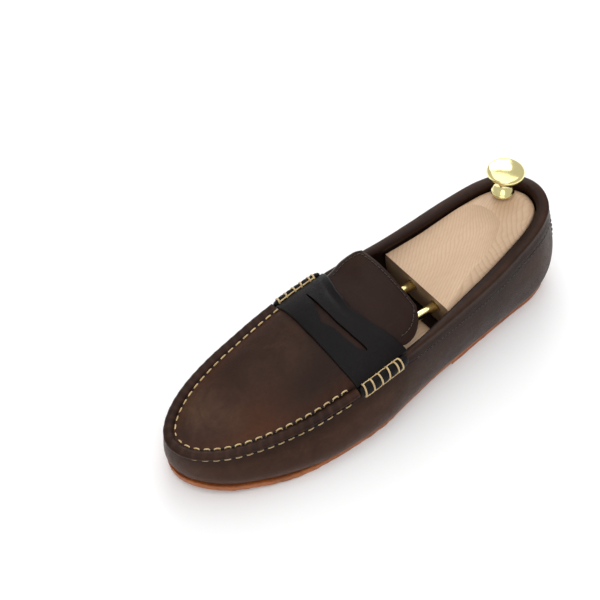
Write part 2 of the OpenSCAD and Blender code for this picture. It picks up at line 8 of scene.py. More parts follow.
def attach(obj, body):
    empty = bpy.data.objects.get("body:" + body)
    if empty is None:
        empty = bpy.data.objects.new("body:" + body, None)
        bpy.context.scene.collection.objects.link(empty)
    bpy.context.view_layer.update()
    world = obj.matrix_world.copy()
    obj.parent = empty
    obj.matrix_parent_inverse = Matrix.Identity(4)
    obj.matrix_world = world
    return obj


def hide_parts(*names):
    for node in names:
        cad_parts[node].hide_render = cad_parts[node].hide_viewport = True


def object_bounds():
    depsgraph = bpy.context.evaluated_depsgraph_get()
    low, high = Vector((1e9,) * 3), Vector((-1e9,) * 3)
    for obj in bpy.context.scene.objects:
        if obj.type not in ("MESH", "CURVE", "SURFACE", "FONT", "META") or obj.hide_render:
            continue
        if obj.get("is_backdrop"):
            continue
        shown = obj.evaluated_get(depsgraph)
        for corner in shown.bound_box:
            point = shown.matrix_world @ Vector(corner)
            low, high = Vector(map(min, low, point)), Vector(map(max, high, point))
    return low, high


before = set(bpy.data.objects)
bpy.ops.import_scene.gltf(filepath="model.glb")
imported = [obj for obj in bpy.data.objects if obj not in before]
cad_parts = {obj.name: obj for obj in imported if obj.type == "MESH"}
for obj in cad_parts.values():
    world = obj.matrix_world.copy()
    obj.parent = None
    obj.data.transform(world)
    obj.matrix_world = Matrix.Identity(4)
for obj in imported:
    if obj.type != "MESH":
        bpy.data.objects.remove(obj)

cad_lo, cad_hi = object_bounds()
CAD_BOX = [list(cad_lo), list(cad_hi)]
SHIFT = np.array([147.0, 1.4, 0.0])
def pt(P): return (np.asarray(P, float) - SHIFT) / 1000.0

# ------------------------------------------------------------------ shared curves
STA = np.array([
 [2,0,13,0,72],[5,-12.5,16,-10.5,71.5],[14,-22.5,23,-19.5,70],[30,-29.5,36.5,-26,67],[55,-33.5,57,-29.5,62.5],
 [85,-35,84,-31,58.5],[115,-37.5,111,-32,56],[140,-40,134,-32.5,55.5],[160,-43,153,-33,55],[180,-46,171,-33.5,53],
 [198,-48,189,-33.5,50],[215,-48,206,-33,46.5],[233,-45,224,-31,43.5],[251,-39.5,245,-27.5,41],[269,-31,265,-21.5,39],
 [283,-20,281,-12.5,38],[291.5,-6,290.5,-2,37.5],[292.5,6,291.5,8.5,37],[287,17.5,284.5,19.5,36.5],[274.5,29,269,29.5,36.5],
 [255.5,38,247,36.5,37.5],[235,45,223,41,39.5],[214,49,202,43,42.5],[192,50,185,44,45.5],[172,49,167,44,48.5],
 [152,45.5,148,43.6,50.5],[130,42,130,41.4,50.8],[105,38.6,105,38,51.8],[80,35.2,80,34.3,54.4],[55,32.2,56,30.6,59.6],
 [29,29.2,35.4,26.6,65.8],[12.8,22.3,21.8,19.8,69.4],[3.9,12.2,14.9,10.5,71.2]], float)
NS = len(STA)
UP = np.array([0.0, 0.0, 1.0])
def ring(s):
    s = np.asarray(s, float); i = np.floor(s).astype(int); t = (s - i)[..., None]
    a, b, c, d = (STA[(i + k) % NS] for k in (-1, 0, 1, 2))
    return 0.5 * (2*b + (c-a)*t + (2*a-5*b+4*c-d)*t*t + (3*b-a-3*c+d)*t**3)
def nrm(v): return v / np.maximum(1e-9, np.linalg.norm(v, axis=-1, keepdims=True))
def out3(s):
    d = ring(np.asarray(s)+0.2) - ring(np.asarray(s)-0.2)
    return nrm(np.stack([d[..., 1], -d[..., 0], 0*d[..., 0]], -1))
def tan3(s):
    d = ring(np.asarray(s)+0.2) - ring(np.asarray(s)-0.2)
    return nrm(d[..., 2:5])
def top3(s): return ring(s)[..., 2:5]
def ramp(x, a, b):
    t = np.clip((np.asarray(x, float)-a)/(b-a), 0, 1); return t*t*(3-2*t)
SOLE_T, LIFT_T = 3.6, 2.6
HIDE, LIN = 1.8, 1.0
def zb(x): return (LIFT_T+0.05)*(1-ramp(x, 114, 166)) + 6.5*(np.maximum(0, np.asarray(x, float)-205)/88)**2
def zt(x): return zb(x) + SOLE_T
def crown(x): return np.interp(x, [120,150,190,230,262,280,292], [16,15,13,9.5,6,3.5,1.5])
def bul(x): return 5.5 + 2*ramp(x, 100, 180) - 3.8*ramp(x, 250, 290)
def wall(s, v, d):
    s, v, d = np.broadcast_arrays(np.asarray(s, float), np.asarray(v, float), np.asarray(d, float))
    r = ring(s); n = out3(s); S = np.stack([r[..., 0], r[..., 1], 0*s], -1) - n*d[..., None]
    T = r[..., 2:5] - n*d[..., None]; e = np.maximum(0, d)
    M = S - n*0.5; M = M + UP*(zt(M[..., 0]) + e*0.9 + 0.5)[..., None]
    B0 = S + n*0.6 + UP*(zt(r[..., 0]) + 2.5 + e*0.3)[..., None]
    h = (r[..., 4] - B0[..., 2])[..., None]; b = bul(r[..., 0])[..., None]
    B1 = B0 + n*b + UP*0.35*h; B3 = T; B2 = B3 + n*b*0.5 - UP*0.3*h
    t = np.clip((v-0.02)/0.98, 0, 2)[..., None]
    W = B0*(1-t)**3 + 3*B1*t*(1-t)**2 + 3*B2*t*t*(1-t) + B3*t**3
    f = np.clip(v/0.02, 0, 1)[..., None]
    return M*(1-f) + W*f
def wall_n(s, v, d=0.0):
    a = wall(np.asarray(s)+0.05, v, d) - wall(np.asarray(s)-0.05, v, d)
    b = wall(s, np.minimum(1, np.asarray(v)+0.02), d) - wall(s, np.maximum(0.03, np.asarray(v)-0.02), d)
    return nrm(np.cross(a, b))
def dome(k, q, o=0.0):
    k, q, o = np.broadcast_arrays(np.asarray(k, float), np.asarray(q, float), np.asarray(o, float))
    F = top3(8+8.5*k); N = top3(25-8.5*k); P = F + (N-F)*q[..., None]
    return P + UP*(crown(P[..., 0])*np.maximum(0, 1-(2*q-1)**2)**0.8 + o)[..., None]
def in_q(k, mm):
    w = np.linalg.norm(top3(25-8.5*np.asarray(k, float)) - top3(8+8.5*np.asarray(k, float)), axis=-1)
    return np.minimum(0.45, mm/w)
def edge_mm(k): return 3.3 - 1.3*(1-ramp(k, 0.265, 0.29))
def lipf(s):
    s = np.mod(s, 33); return -1.2 + 2.4*ramp(s, 10, 13.5)*(1-ramp(s, 20.5, 22.5))
def cwf(s): return 12.0*(1-0.42*ramp(np.abs(s), 3.5, 8.2))
def ctf(s): return 1.05 - 0.45*ramp(np.abs(s), 6.0, 8.2)
def plug_z(s, mm):
    s = np.asarray(s, float); k = np.minimum(0.955, np.where(s < 16.5, (s-8)/8.5, (25-s)/8.5)); q = in_q(k, mm)
    return dome(k, np.where(s < 16.5, q, 1-q), 0.0)[..., 2]
def lap(s):
    s = np.mod(s, 33); return -0.9*(1-ramp(np.minimum(s, 33-s), 4.4, 6.6))
def front(s):
    s = np.mod(s, 33); return ramp(s, 7.9, 8.6)*(1-ramp(s, 24.3, 25))
def lin_d(s):
    h = np.mod(s, 33); h = np.minimum(h, 33-h); return 2.1 + 1.95*(1-ramp(h, 5.2, 7.5)) + 1.2*ramp(h, 11.6, 13)
_ss = np.linspace(-33, 66, 19801); _tp = top3(_ss)
_len = np.concatenate([[0], np.cumsum(np.linalg.norm(np.diff(_tp, axis=0), axis=1))])
def arc(s): return np.interp(s, _ss, _len)
def s_at(l): return np.interp(l, _len, _ss)

# ------------------------------------------------------------------ value noise, same on every run
def _hash(i, j, k):
    h = (i.astype(np.int64)*374761393 + j.astype(np.int64)*668265263 + k.astype(np.int64)*2147483647) & 0xffffffff
    h = ((h ^ (h >> 13)) * 1274126177) & 0xffffffff
    return ((h ^ (h >> 16)) & 0xffff) / 65535.0
def vnoise(P, scale):
    Q = np.asarray(P, float)/scale + 57.3; I = np.floor(Q).astype(np.int64); f = Q - I; f = f*f*(3-2*f)
    r = 0
    for a in (0, 1):
        for b in (0, 1):
            for c in (0, 1):
                w = (f[..., 0] if a else 1-f[..., 0])*(f[..., 1] if b else 1-f[..., 1])*(f[..., 2] if c else 1-f[..., 2])
                r = r + w*_hash(I[..., 0]+a, I[..., 1]+b, I[..., 2]+c)
    return r*2-1

# ------------------------------------------------------------------ mesh helpers
def make(name, V, F, mat, body="shoe", smooth=True, attrs=None, sharp=None, slot=None, rep=(), mats=None, fmat=None):
    me = bpy.data.meshes.new(name)
    me.from_pydata([tuple(p) for p in pt(V)], [], F)
    me.update()
    bm = bmesh.new(); bm.from_mesh(me)
    bmesh.ops.recalc_face_normals(bm, faces=bm.faces)
    bm.to_mesh(me); bm.free()
    if smooth: me.polygons.foreach_set("use_smooth", [True]*len(me.polygons))
    for k, a in (attrs or {}).items():
        at = me.attributes.new(k, "FLOAT", "POINT"); at.data.foreach_set("value", np.asarray(a, np.float32).ravel())
    o = bpy.data.objects.new(name, me); bpy.context.scene.collection.objects.link(o)
    for m in (mats or [mat]): me.materials.append(m)
    if fmat is not None: me.polygons.foreach_set("material_index", fmat)
    if sharp is not None: mark_sharp(me, sharp)
    if body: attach(o, body)
    if rep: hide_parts(*rep)
    return o
def mark_sharp(me, deg):
    bm = bmesh.new(); bm.from_mesh(me); lim = math.radians(deg)
    for e in bm.edges:
        e.smooth = not (len(e.link_faces) == 2 and e.calc_face_angle(0.0) > lim)
    bm.to_mesh(me); bm.free()
def apply_mods(o):
    dg = bpy.context.evaluated_depsgraph_get()
    me = bpy.data.meshes.new_from_object(o.evaluated_get(dg), preserve_all_data_layers=True, depsgraph=dg)
    o.modifiers.clear(); old = o.data; o.data = me; bpy.data.meshes.remove(old)
def grid_faces(m, n, loop=False, off=0, flip=False):
    F = []
    for i in range(m if loop else m-1):
        for j in range(n-1):
            a, b, c, d = i*n+j, ((i+1) % m)*n+j, ((i+1) % m)*n+j+1, i*n+j+1
            F.append((off+a, off+b, off+c, off+d) if not flip else (off+d, off+c, off+b, off+a))
    return F
def tube_faces(m, n, cap=True, off=0):
    # m rings of n points, each ring closed
    F = [(off+i*n+j, off+(i+1)*n+j, off+(i+1)*n+(j+1) % n, off+i*n+(j+1) % n) for i in range(m-1) for j in range(n)]
    if cap: F += [tuple(off+j for j in reversed(range(n))), tuple(off+(m-1)*n+j for j in range(n))]
    return F
def slab(name, A, B, mat, edge=0.35, loop=False, attrs=None, **kw):
    """Closed sheet between grids A (outside) and B (inside), its borders rounded."""
    m, n = A.shape[:2]
    d = A - B
    # rounded borders: extra columns and rows along the rim are made from points pushed out along the sheet
    cols = []
    def col(P): cols.append(P)
    j_out0 = A[:, 0] + nrm(A[:, 0]-A[:, 1])*edge; j_out1 = A[:, -1] + nrm(A[:, -1]-A[:, -2])*edge
    prof = [A[:, j] for j in range(n)]
    right = [A[:, -1]*0.85+B[:, -1]*0.15 + (j_out1-A[:, -1])*0.75, (A[:, -1]+B[:, -1])/2 + (j_out1-A[:, -1]), A[:, -1]*0.15+B[:, -1]*0.85 + (j_out1-A[:, -1])*0.75]
    left = [A[:, 0]*0.15+B[:, 0]*0.85 + (j_out0-A[:, 0])*0.75, (A[:, 0]+B[:, 0])/2 + (j_out0-A[:, 0]), A[:, 0]*0.85+B[:, 0]*0.15 + (j_out0-A[:, 0])*0.75]
    prof = prof + right + [B[:, j] for j in range(n-1, -1, -1)] + left
    V = np.stack(prof, 1); k = V.shape[1]
    side = np.concatenate([np.zeros(n), [0.3, 0.5, 0.7], np.ones(n), [0.7, 0.5, 0.3]])
    idx = np.concatenate([np.arange(n), [n-1]*3, np.arange(n-1, -1, -1), [0]*3])
    F = []
    mm = m
    if loop:
        for i in range(m):
            for j in range(k):
                F.append((i*k+j, ((i+1) % m)*k+j, ((i+1) % m)*k+(j+1) % k, i*k+(j+1) % k))
        VV = V.reshape(-1, 3); src = np.tile(idx, (m, 1)); row = np.repeat(np.arange(m), k)
    else:
        # end caps: one shrunken ring pushed outwards, then filled as strips between outside and inside
        e0 = nrm(V[0]-V[1]); e1 = nrm(V[-1]-V[-2])
        def shrink(R, e):
            c = R.copy()
            for j in range(k):
                jj = idx[j]; midp = (R[jj] + R[k-4-jj if False else (2*n+2-jj)])/2
                c[j] = R[j]*0.7 + midp*0.3
            return c + e*edge
        V = np.concatenate([shrink(V[0], e0)[None], V, shrink(V[-1], e1)[None]], 0); mm = m+2
        for i in range(mm-1):
            for j in range(k):
                F.append((i*k+j, (i+1)*k+j, (i+1)*k+(j+1) % k, i*k+(j+1) % k))
        for r in (0, mm-1):
            b = r*k
            for j in range(n-1): F.append((b+j, b+j+1, b+(2*n+2-(j+1)), b+(2*n+2-j)))
            F.append((b+n-1, b+n, b+n+2, b+n+3)); F.append((b+n, b+n+1, b+n+2))
            F.append((b+0, b+2*n+2, b+2*n+3, b+2*n+5)); F.append((b+2*n+3, b+2*n+4, b+2*n+5))
        VV = V.reshape(-1, 3); row = np.repeat(np.clip(np.arange(mm)-1, 0, m-1), k)
    at = {}
    if attrs:
        cidx = np.tile(idx, mm)
        for key, a in attrs.items(): at[key] = np.asarray(a)[row, cidx]
    at["inner"] = np.tile(side, mm)
    return make(name, VV, F, mat, attrs=at, **kw)
def loft(name, R, mat, cap=True, **kw):
    R = np.asarray(R, float); m, n = R.shape[:2]
    V = R.reshape(-1, 3); F = tube_faces(m, n, False)
    if cap:
        V = np.concatenate([V, R[0].mean(0)[None], R[-1].mean(0)[None]]); c0 = m*n; c1 = c0+1
        F += [(c0, (j+1) % n, j) for j in range(n)] + [(c1, (m-1)*n+j, (m-1)*n+(j+1) % n) for j in range(n)]
    at = kw.pop("attrs", None)
    if at and cap: at = {k: np.concatenate([np.asarray(a).ravel(), [np.asarray(a)[0].mean(), np.asarray(a)[-1].mean()]]) for k, a in at.items()}
    return make(name, V, F, mat, attrs=at, **kw)
def frames_along(P):
    T = nrm(np.gradient(P, axis=0)); return T
def thread(P, r, n=8, twist=0.0, ends=True):
    """Round thread through points P (m,3); returns rings. r may be an array."""
    T = frames_along(P); ref = np.tile(np.array([0.31, 0.77, 0.55]), (len(P), 1))
    N = nrm(np.cross(T, ref)); 
    for i in range(1, len(P)):
        v = N[i-1] - T[i]*np.dot(N[i-1], T[i]); N[i] = v/np.linalg.norm(v)
    B = np.cross(T, N); r = np.broadcast_to(r, (len(P),)).astype(float)
    a = 2*np.pi*np.arange(n)/n
    l = np.concatenate([[0], np.cumsum(np.linalg.norm(np.diff(P, axis=0), axis=1))])
    R = []
    for i in range(len(P)):
        rr = r[i]*(1 + 0.10*np.cos(3*(a + twist*l[i])))
        R.append(P[i] + N[i]*(np.cos(a)*rr)[:, None] + B[i]*(np.sin(a)*rr)[:, None])
    return np.array(R)
class Many:
    """Collects many small closed pieces in one mesh."""
    def __init__(self): self.V = []; self.F = []; self.n = 0
    def add(self, R):
        m, n = R.shape[:2]
        V = np.concatenate([R.reshape(-1, 3), R[0].mean(0)[None], R[-1].mean(0)[None]])
        F = tube_faces(m, n, False) + [(m*n, (j+1) % n, j) for j in range(n)] + [(m*n+1, (m-1)*n+j, (m-1)*n+(j+1) % n) for j in range(n)]
        self.F += [tuple(self.n+i for i in f) for f in F]; self.V.append(V); self.n += len(V)
    def done(self, name, mat, **kw): return make(name, np.concatenate(self.V), self.F, mat, **kw)
def stitch_path(a, b, n, lift=0.45, dip=1.1, m=9):
    """Visible stitch from a to b on a surface with normal n: rises out of its hole, lies, and dives again."""
    t = np.linspace(0, 1, m)[:, None]
    h = np.sin(np.pi*np.clip(t, 0, 1))**0.55
    P = a + (b-a)*t + n*(lift*h - dip*(1-h)**2)
    return P

# ------------------------------------------------------------------ materials
def mat_new(name):
    m = bpy.data.materials.new(name); m.use_nodes = True; nt = m.node_tree
    for n in list(nt.nodes): nt.nodes.remove(n)
    out = nt.nodes.new("ShaderNodeOutputMaterial"); b = nt.nodes.new("ShaderNodeBsdfPrincipled")
    nt.links.new(b.outputs[0], out.inputs[0])
    return m, nt, b
class G:
    """Short names for building node trees."""
    def __init__(self, nt):
        self.nt = nt; tc = nt.nodes.new("ShaderNodeTexCoord"); self.co = tc.outputs["Object"]
    def _in(self, sock, v):
        if hasattr(v, "is_linked") or isinstance(v, bpy.types.NodeSocket): self.nt.links.new(v, sock)
        elif v is not None:
            if sock.type == "RGBA" and len(v) == 3: v = (*v, 1)
            sock.default_value = v
    def noise(self, scale, detail=3, rough=0.5, dist=0.0, co=None):
        n = self.nt.nodes.new("ShaderNodeTexNoise"); self._in(n.inputs["Vector"], co or self.co)
        n.inputs["Scale"].default_value = scale; n.inputs["Detail"].default_value = detail; n.inputs["Roughness"].default_value = rough; n.inputs["Distortion"].default_value = dist
        return n.outputs["Fac"]
    def voro(self, scale, feat="F1", out="Distance", rnd=1.0, co=None):
        n = self.nt.nodes.new("ShaderNodeTexVoronoi"); n.feature = feat; self._in(n.inputs["Vector"], co or self.co)
        n.inputs["Scale"].default_value = scale; n.inputs["Randomness"].default_value = rnd
        return n.outputs[out]
    def map(self, scale=(1, 1, 1), rot=(0, 0, 0), loc=(0, 0, 0)):
        n = self.nt.nodes.new("ShaderNodeMapping"); self.nt.links.new(self.co, n.inputs["Vector"])
        n.inputs["Scale"].default_value = scale; n.inputs["Rotation"].default_value = rot; n.inputs["Location"].default_value = loc
        return n.outputs[0]
    def ramp(self, v, stops):
        n = self.nt.nodes.new("ShaderNodeValToRGB"); self._in(n.inputs[0], v); e = n.color_ramp.elements
        while len(e) < len(stops): e.new(0.5)
        for x, (p, c) in zip(e, stops):
            x.position = p; x.color = (*c, 1) if hasattr(c, "__len__") else (c, c, c, 1)
        return n.outputs[0]
    def math(self, op, a, b=None, clamp=False):
        n = self.nt.nodes.new("ShaderNodeMath"); n.operation = op; n.use_clamp = clamp
        self._in(n.inputs[0], a)
        if b is not None: self._in(n.inputs[1], b)
        return n.outputs[0]
    def mix(self, f, a, b, mode="MIX"):
        n = self.nt.nodes.new("ShaderNodeMix"); n.data_type = "RGBA"; n.blend_type = mode
        self._in(n.inputs[0], f); self._in(n.inputs[6], a); self._in(n.inputs[7], b)
        return n.outputs[2]
    def attr(self, name):
        n = self.nt.nodes.new("ShaderNodeAttribute"); n.attribute_name = name; return n.outputs["Fac"]
    def bump(self, h, strength, dist, nrm=None):
        n = self.nt.nodes.new("ShaderNodeBump"); self._in(n.inputs["Height"], h); n.inputs["Strength"].default_value = strength; n.inputs["Distance"].default_value = dist
        if nrm is not None: self.nt.links.new(nrm, n.inputs["Normal"])
        return n.outputs[0]
    def map_range(self, v, a, b, c, d):
        n = self.nt.nodes.new("ShaderNodeMapRange"); self._in(n.inputs[0], v)
        for i, x in enumerate((a, b, c, d)): n.inputs[1+i].default_value = x
        return n.outputs[0]

def leather(name, dark, mid, warm, pale, rough=0.46, grain=1.0, sheen=(0.55, 0.5, 0.55), spec=0.5):
    m, nt, b = mat_new(name); g = G(nt)
    big = g.noise(14, 4, 0.55, 0.6); med = g.noise(60, 4, 0.6, 0.3); fine = g.noise(420, 3, 0.6)
    base = g.mix(g.map_range(big, 0.36, 0.66, 0, 1), dark, mid)
    base = g.mix(g.map_range(med, 0.42, 0.72, 0, 0.35), base, mid)
    base = g.mix(g.math("MULTIPLY", g.attr("warm"), g.map_range(g.noise(22, 3), 0.3, 0.7, 0.55, 1.0)), base, warm)
    # paler pull-up leather together with painted sheen and painted highlights: this per-vertex attribute lifts the
    # colour towards the pale tone
    base = g.mix(g.math("MULTIPLY", g.attr("pale_and_sheen"), g.map_range(g.noise(55, 4, 0.65, 0.8), 0.35, 0.65, 0.3, 1.0)), base, pale)
    base = g.mix(g.map_range(fine, 0.35, 0.75, 0.0, 0.22), base, dark)
    # fine scuffs and pull-up flecks
    sc = g.noise(1.0, 5, 0.7, 1.5, co=g.map((60, 240, 120), (0.2, 0.1, 0.6)))
    base = g.mix(g.map_range(sc, 0.62, 0.8, 0.0, 0.25), base, pale)
    # painted shade: the per-vertex dark attribute pulls the colour towards a quarter of the darkest tone in seam
    # gutters, stitch grooves, along the sole joint and inside the collar; it also darkens the collar's cut edge and,
    # evenly, the heel panel and tongue
    base = g.mix(g.attr("dark"), base, [c*0.25 for c in dark])
    nt.links.new(base, b.inputs["Base Color"])
    r = g.math("ADD", g.map_range(med, 0.3, 0.7, rough-0.07, rough+0.07), g.map_range(fine, 0.3, 0.7, -0.03, 0.05))
    nt.links.new(r, b.inputs["Roughness"])
    cells = g.voro(1500, "DISTANCE_TO_EDGE"); cells = g.map_range(cells, 0.0, 0.12, 0, 1)
    pores = g.voro(620, "F1"); pores = g.map_range(pores, 0.05, 0.35, 0, 1)
    h = g.math("ADD", g.math("MULTIPLY", cells, 0.5), g.math("MULTIPLY", pores, 0.5))
    wr = g.noise(90, 5, 0.62, 0.8)
    n1 = g.bump(wr, 0.22*grain, 0.0012)
    n2 = g.bump(h, 0.35*grain, 0.00012, n1)
    nt.links.new(n2, b.inputs["Normal"])
    b.inputs["Specular IOR Level"].default_value = spec
    b.inputs["Sheen Weight"].default_value = 0.0
    return m

M = {}
M["upper"] = leather("oiled_leather", (0.0145, 0.0058, 0.0035), (0.0275, 0.0112, 0.0070), (0.062, 0.0190, 0.0066), (0.092, 0.046, 0.026), rough=0.38, spec=0.11)
M["strap"] = leather("waxed_black_leather", (0.0034, 0.0027, 0.0027), (0.0062, 0.0048, 0.0048), (0.012, 0.006, 0.004), (0.016, 0.012, 0.012), rough=0.36, spec=0.10)
M["roll"] = leather("grainy_black_leather", (0.0032, 0.0026, 0.0026), (0.0065, 0.0052, 0.005), (0.012, 0.006, 0.004), (0.016, 0.012, 0.011), rough=0.44, grain=2.4, spec=0.11)
M["lining"] = leather("lining_leather", (0.020, 0.0110, 0.0075), (0.036, 0.021, 0.014), (0.055, 0.025, 0.014), (0.07, 0.045, 0.03), rough=0.6, spec=0.12)
M["suede"] = leather("suede_underside", (0.055, 0.018, 0.008), (0.09, 0.03, 0.013), (0.12, 0.035, 0.015), (0.15, 0.07, 0.04), rough=0.85, grain=1.8, spec=0.2)

def crepe():
    m, nt, b = mat_new("crepe_rubber"); g = G(nt)
    a = g.noise(30, 4, 0.6, 0.4); c = g.noise(260, 4, 0.7, 1.2)
    base = g.ramp(a, [(0.3, (0.25, 0.055, 0.006)), (0.52, (0.36, 0.088, 0.010)), (0.75, (0.46, 0.130, 0.017))])
    base = g.mix(g.map_range(c, 0.4, 0.62, 0.0, 0.6), base, (0.13, 0.03, 0.004))
    base = g.mix(g.attr("pale"), base, (0.52, 0.20, 0.07))
    nt.links.new(base, b.inputs["Base Color"])
    nt.links.new(g.map_range(c, 0.3, 0.7, 0.34, 0.58), b.inputs["Roughness"])
    b.inputs["Subsurface Weight"].default_value = 0.12; b.inputs["Subsurface Radius"].default_value = (0.003, 0.0012, 0.0005); b.inputs["Subsurface Scale"].default_value = 0.6
    wr = g.noise(330, 5, 0.7, 1.8); wr2 = g.noise(900, 3, 0.6)
    n1 = g.bump(wr, 0.55, 0.0009); n2 = g.bump(wr2, 0.3, 0.0002, n1)
    nt.links.new(n2, b.inputs["Normal"])
    return m
M["crepe"] = crepe()
def cord_mat(name, light, dark):
    m, nt, b = mat_new(name); g = G(nt)
    w = nt.nodes.new("ShaderNodeTexWave"); nt.links.new(g.map((1, 1, 1), (0.4, 0.9, 0.7)), w.inputs["Vector"]); w.inputs["Scale"].default_value = 650; w.inputs["Distortion"].default_value = 1.2; w.inputs["Detail"].default_value = 2
    base = g.mix(g.map_range(g.noise(300, 3), 0.35, 0.7, 0, 1), dark, light)
    # painted shade in the grooves between the twisted plies, darker where the wave bump is low
    base = g.mix(g.map_range(w.outputs["Fac"], 0.0, 0.35, 0.35, 0.0), base, [c*0.45 for c in dark])
    nt.links.new(base, b.inputs["Base Color"]); b.inputs["Roughness"].default_value = 0.62
    nt.links.new(g.bump(w.outputs["Fac"], 0.6, 0.0002), b.inputs["Normal"])
    b.inputs["Sheen Weight"].default_value = 0.2
    return m
M["thread"] = cord_mat("seam_thread", (0.72, 0.54, 0.27), (0.50, 0.34, 0.15))
M["white"] = cord_mat("sole_thread", (0.80, 0.74, 0.66), (0.55, 0.48, 0.40))
M["fine"] = cord_mat("fine_brown_thread", (0.060, 0.036, 0.024), (0.035, 0.02, 0.013))
def flat(name, col, col2, rough, scale=200, bump=0.2, dist=0.0003, metal=0.0):
    m, nt, b = mat_new(name); g = G(nt)
    n = g.noise(scale, 4, 0.6, 0.3)
    nt.links.new(g.mix(g.map_range(n, 0.35, 0.65, 0, 1), col, col2), b.inputs["Base Color"])
    nt.links.new(g.map_range(n, 0.3, 0.7, rough-0.05, rough+0.05), b.inputs["Roughness"])
    nt.links.new(g.bump(g.noise(scale*2.5, 4, 0.6), bump, dist), b.inputs["Normal"])
    b.inputs["Metallic"].default_value = metal
    return m
# painted shade: near-black colour that stands in for the shadow inside the stitch holes
M["hole"] = flat("stitch_hole_painted_shade", (0.004, 0.003, 0.0025), (0.008, 0.005, 0.004), 0.9)
M["board"] = flat("fibre_board", (0.40, 0.29, 0.19), (0.30, 0.21, 0.13), 0.85)
M["stiff"] = flat("stiffener_board", (0.50, 0.43, 0.33), (0.42, 0.35, 0.26), 0.9)
M["cork"] = flat("cork_filler", (0.36, 0.21, 0.11), (0.16, 0.08, 0.035), 0.9, 420, 0.5)
M["steel"] = flat("spring_steel", (0.50, 0.51, 0.53), (0.40, 0.41, 0.43), 0.28, 600, 0.08, 0.0001, 1.0)
def brass():
    m, nt, b = mat_new("polished_brass"); g = G(nt)
    n = g.noise(35, 3, 0.5, 0.5); f = g.noise(1.0, 4, 0.6, 0, co=g.map((900, 900, 3500)))
    nt.links.new(g.mix(g.map_range(n, 0.3, 0.7, 0, 1), (1.0, 0.90, 0.46), (0.98, 0.85, 0.38)), b.inputs["Base Color"])
    nt.links.new(g.math("ADD", g.map_range(n, 0.3, 0.7, 0.09, 0.17), g.map_range(f, 0.4, 0.7, 0.0, 0.05)), b.inputs["Roughness"])
    nt.links.new(g.bump(f, 0.05, 0.00004), b.inputs["Normal"])
    b.inputs["Metallic"].default_value = 1.0
    return m
M["brass"] = brass()
def beech():
    m, nt, b = mat_new("beech_wood"); g = G(nt)
    # growth rings: distance from a tilted axis below the block, warped by noise
    sep = nt.nodes.new("ShaderNodeSeparateXYZ"); mp = nt.nodes.new("ShaderNodeMapping"); nt.links.new(g.co, mp.inputs["Vector"])
    mp.inputs["Location"].default_value = (0.02, 0.055, 0.060); mp.inputs["Rotation"].default_value = (0.05, 0.10, -0.10)
    nt.links.new(mp.outputs[0], sep.inputs[0])
    wob = g.math("MULTIPLY", g.math("SUBTRACT", g.noise(1.0, 3, 0.5, co=g.map((7, 26, 26))), 0.5), 0.006)
    y = g.math("ADD", sep.outputs[1], wob); z = g.math("ADD", sep.outputs[2], wob)
    rr = g.math("SQRT", g.math("ADD", g.math("MULTIPLY", y, y), g.math("MULTIPLY", z, z)))
    ringw = g.math("FRACT", g.math("MULTIPLY", rr, 900))
    ringv = g.ramp(ringw, [(0.0, 0.0), (0.55, 0.25), (0.86, 1.0), (1.0, 0.1)])
    fl = g.voro(1.0, "F1", co=g.map((260, 2300, 2300))); fleck = g.map_range(fl, 0.02, 0.22, 1, 0)
    big = g.noise(1.0, 4, 0.55, 0.4, co=g.map((8, 40, 40)))
    base = g.mix(g.map_range(big, 0.3, 0.7, 0, 1), (0.53, 0.365, 0.235), (0.605, 0.43, 0.285))
    base = g.mix(g.math("MULTIPLY", ringv, 0.5), base, (0.40, 0.235, 0.135))
    base = g.mix(g.math("MULTIPLY", fleck, 0.38), base, (0.30, 0.155, 0.08))
    base = g.mix(g.map_range(g.noise(1.0, 5, 0.6, co=g.map((30, 900, 900))), 0.45, 0.75, 0, 0.35), base, (0.42, 0.25, 0.14))
    base = g.mix(g.attr("dark"), base, (0.30, 0.13, 0.06))
    nt.links.new(base, b.inputs["Base Color"])
    nt.links.new(g.map_range(big, 0.3, 0.7, 0.42, 0.56), b.inputs["Roughness"])
    hgt = g.math("ADD", g.math("MULTIPLY", ringv, 0.5), g.math("MULTIPLY", fleck, -0.6))
    nt.links.new(g.bump(hgt, 0.18, 0.0002), b.inputs["Normal"])
    b.inputs["Specular IOR Level"].default_value = 0.4
    return m
M["beech"] = beech()

# ------------------------------------------------------------------ sole
def wall_full(s, v, d):
    """wall() that also turns in under the foot for v < 0 (the lasting margin)."""
    s, v, d = np.broadcast_arrays(np.asarray(s, float), np.asarray(v, float), np.asarray(d, float))
    W = wall(s, np.maximum(0, v), d); r = ring(s); n = out3(s); S = np.stack([r[..., 0], r[..., 1], 0*s], -1) - n*d[..., None]
    Mm = S - n*(2.2 + (7.5-d)*(-v))[..., None]; e = np.maximum(0, d)
    Mm = Mm + UP*(zt(Mm[..., 0]) + 0.15 + e)[..., None]
    f = ((v < 0)*1.0)[..., None]
    return Mm*f + W*(1-f)
def plate_rows(ks, inset, tt, z):
    """Rows across the sole: ks along it, tt 0..1 across with extra points near both edges; z(x) height."""
    F = ring(16.5*ks); N = ring(33-16.5*ks); nf = out3(16.5*ks); nn = out3(33-16.5*ks)
    i0 = -lipf(16.5*ks)[:, None] if inset is None else inset; i1 = -lipf(33-16.5*ks)[:, None] if inset is None else inset
    f = np.stack([F[:, 0], F[:, 1], 0*ks], -1) - nf*i0; g = np.stack([N[:, 0], N[:, 1], 0*ks], -1) - nn*i1
    P = f[:, None] + (g-f)[:, None]*tt[..., None]
    P[..., 2] = z(P[..., 0]); return P
def cos_k(a, b, n):
    t = np.linspace(0, 1, n); return a + (b-a)*(0.5-0.5*np.cos(np.pi*t))*0.55 + (b-a)*t*0.45
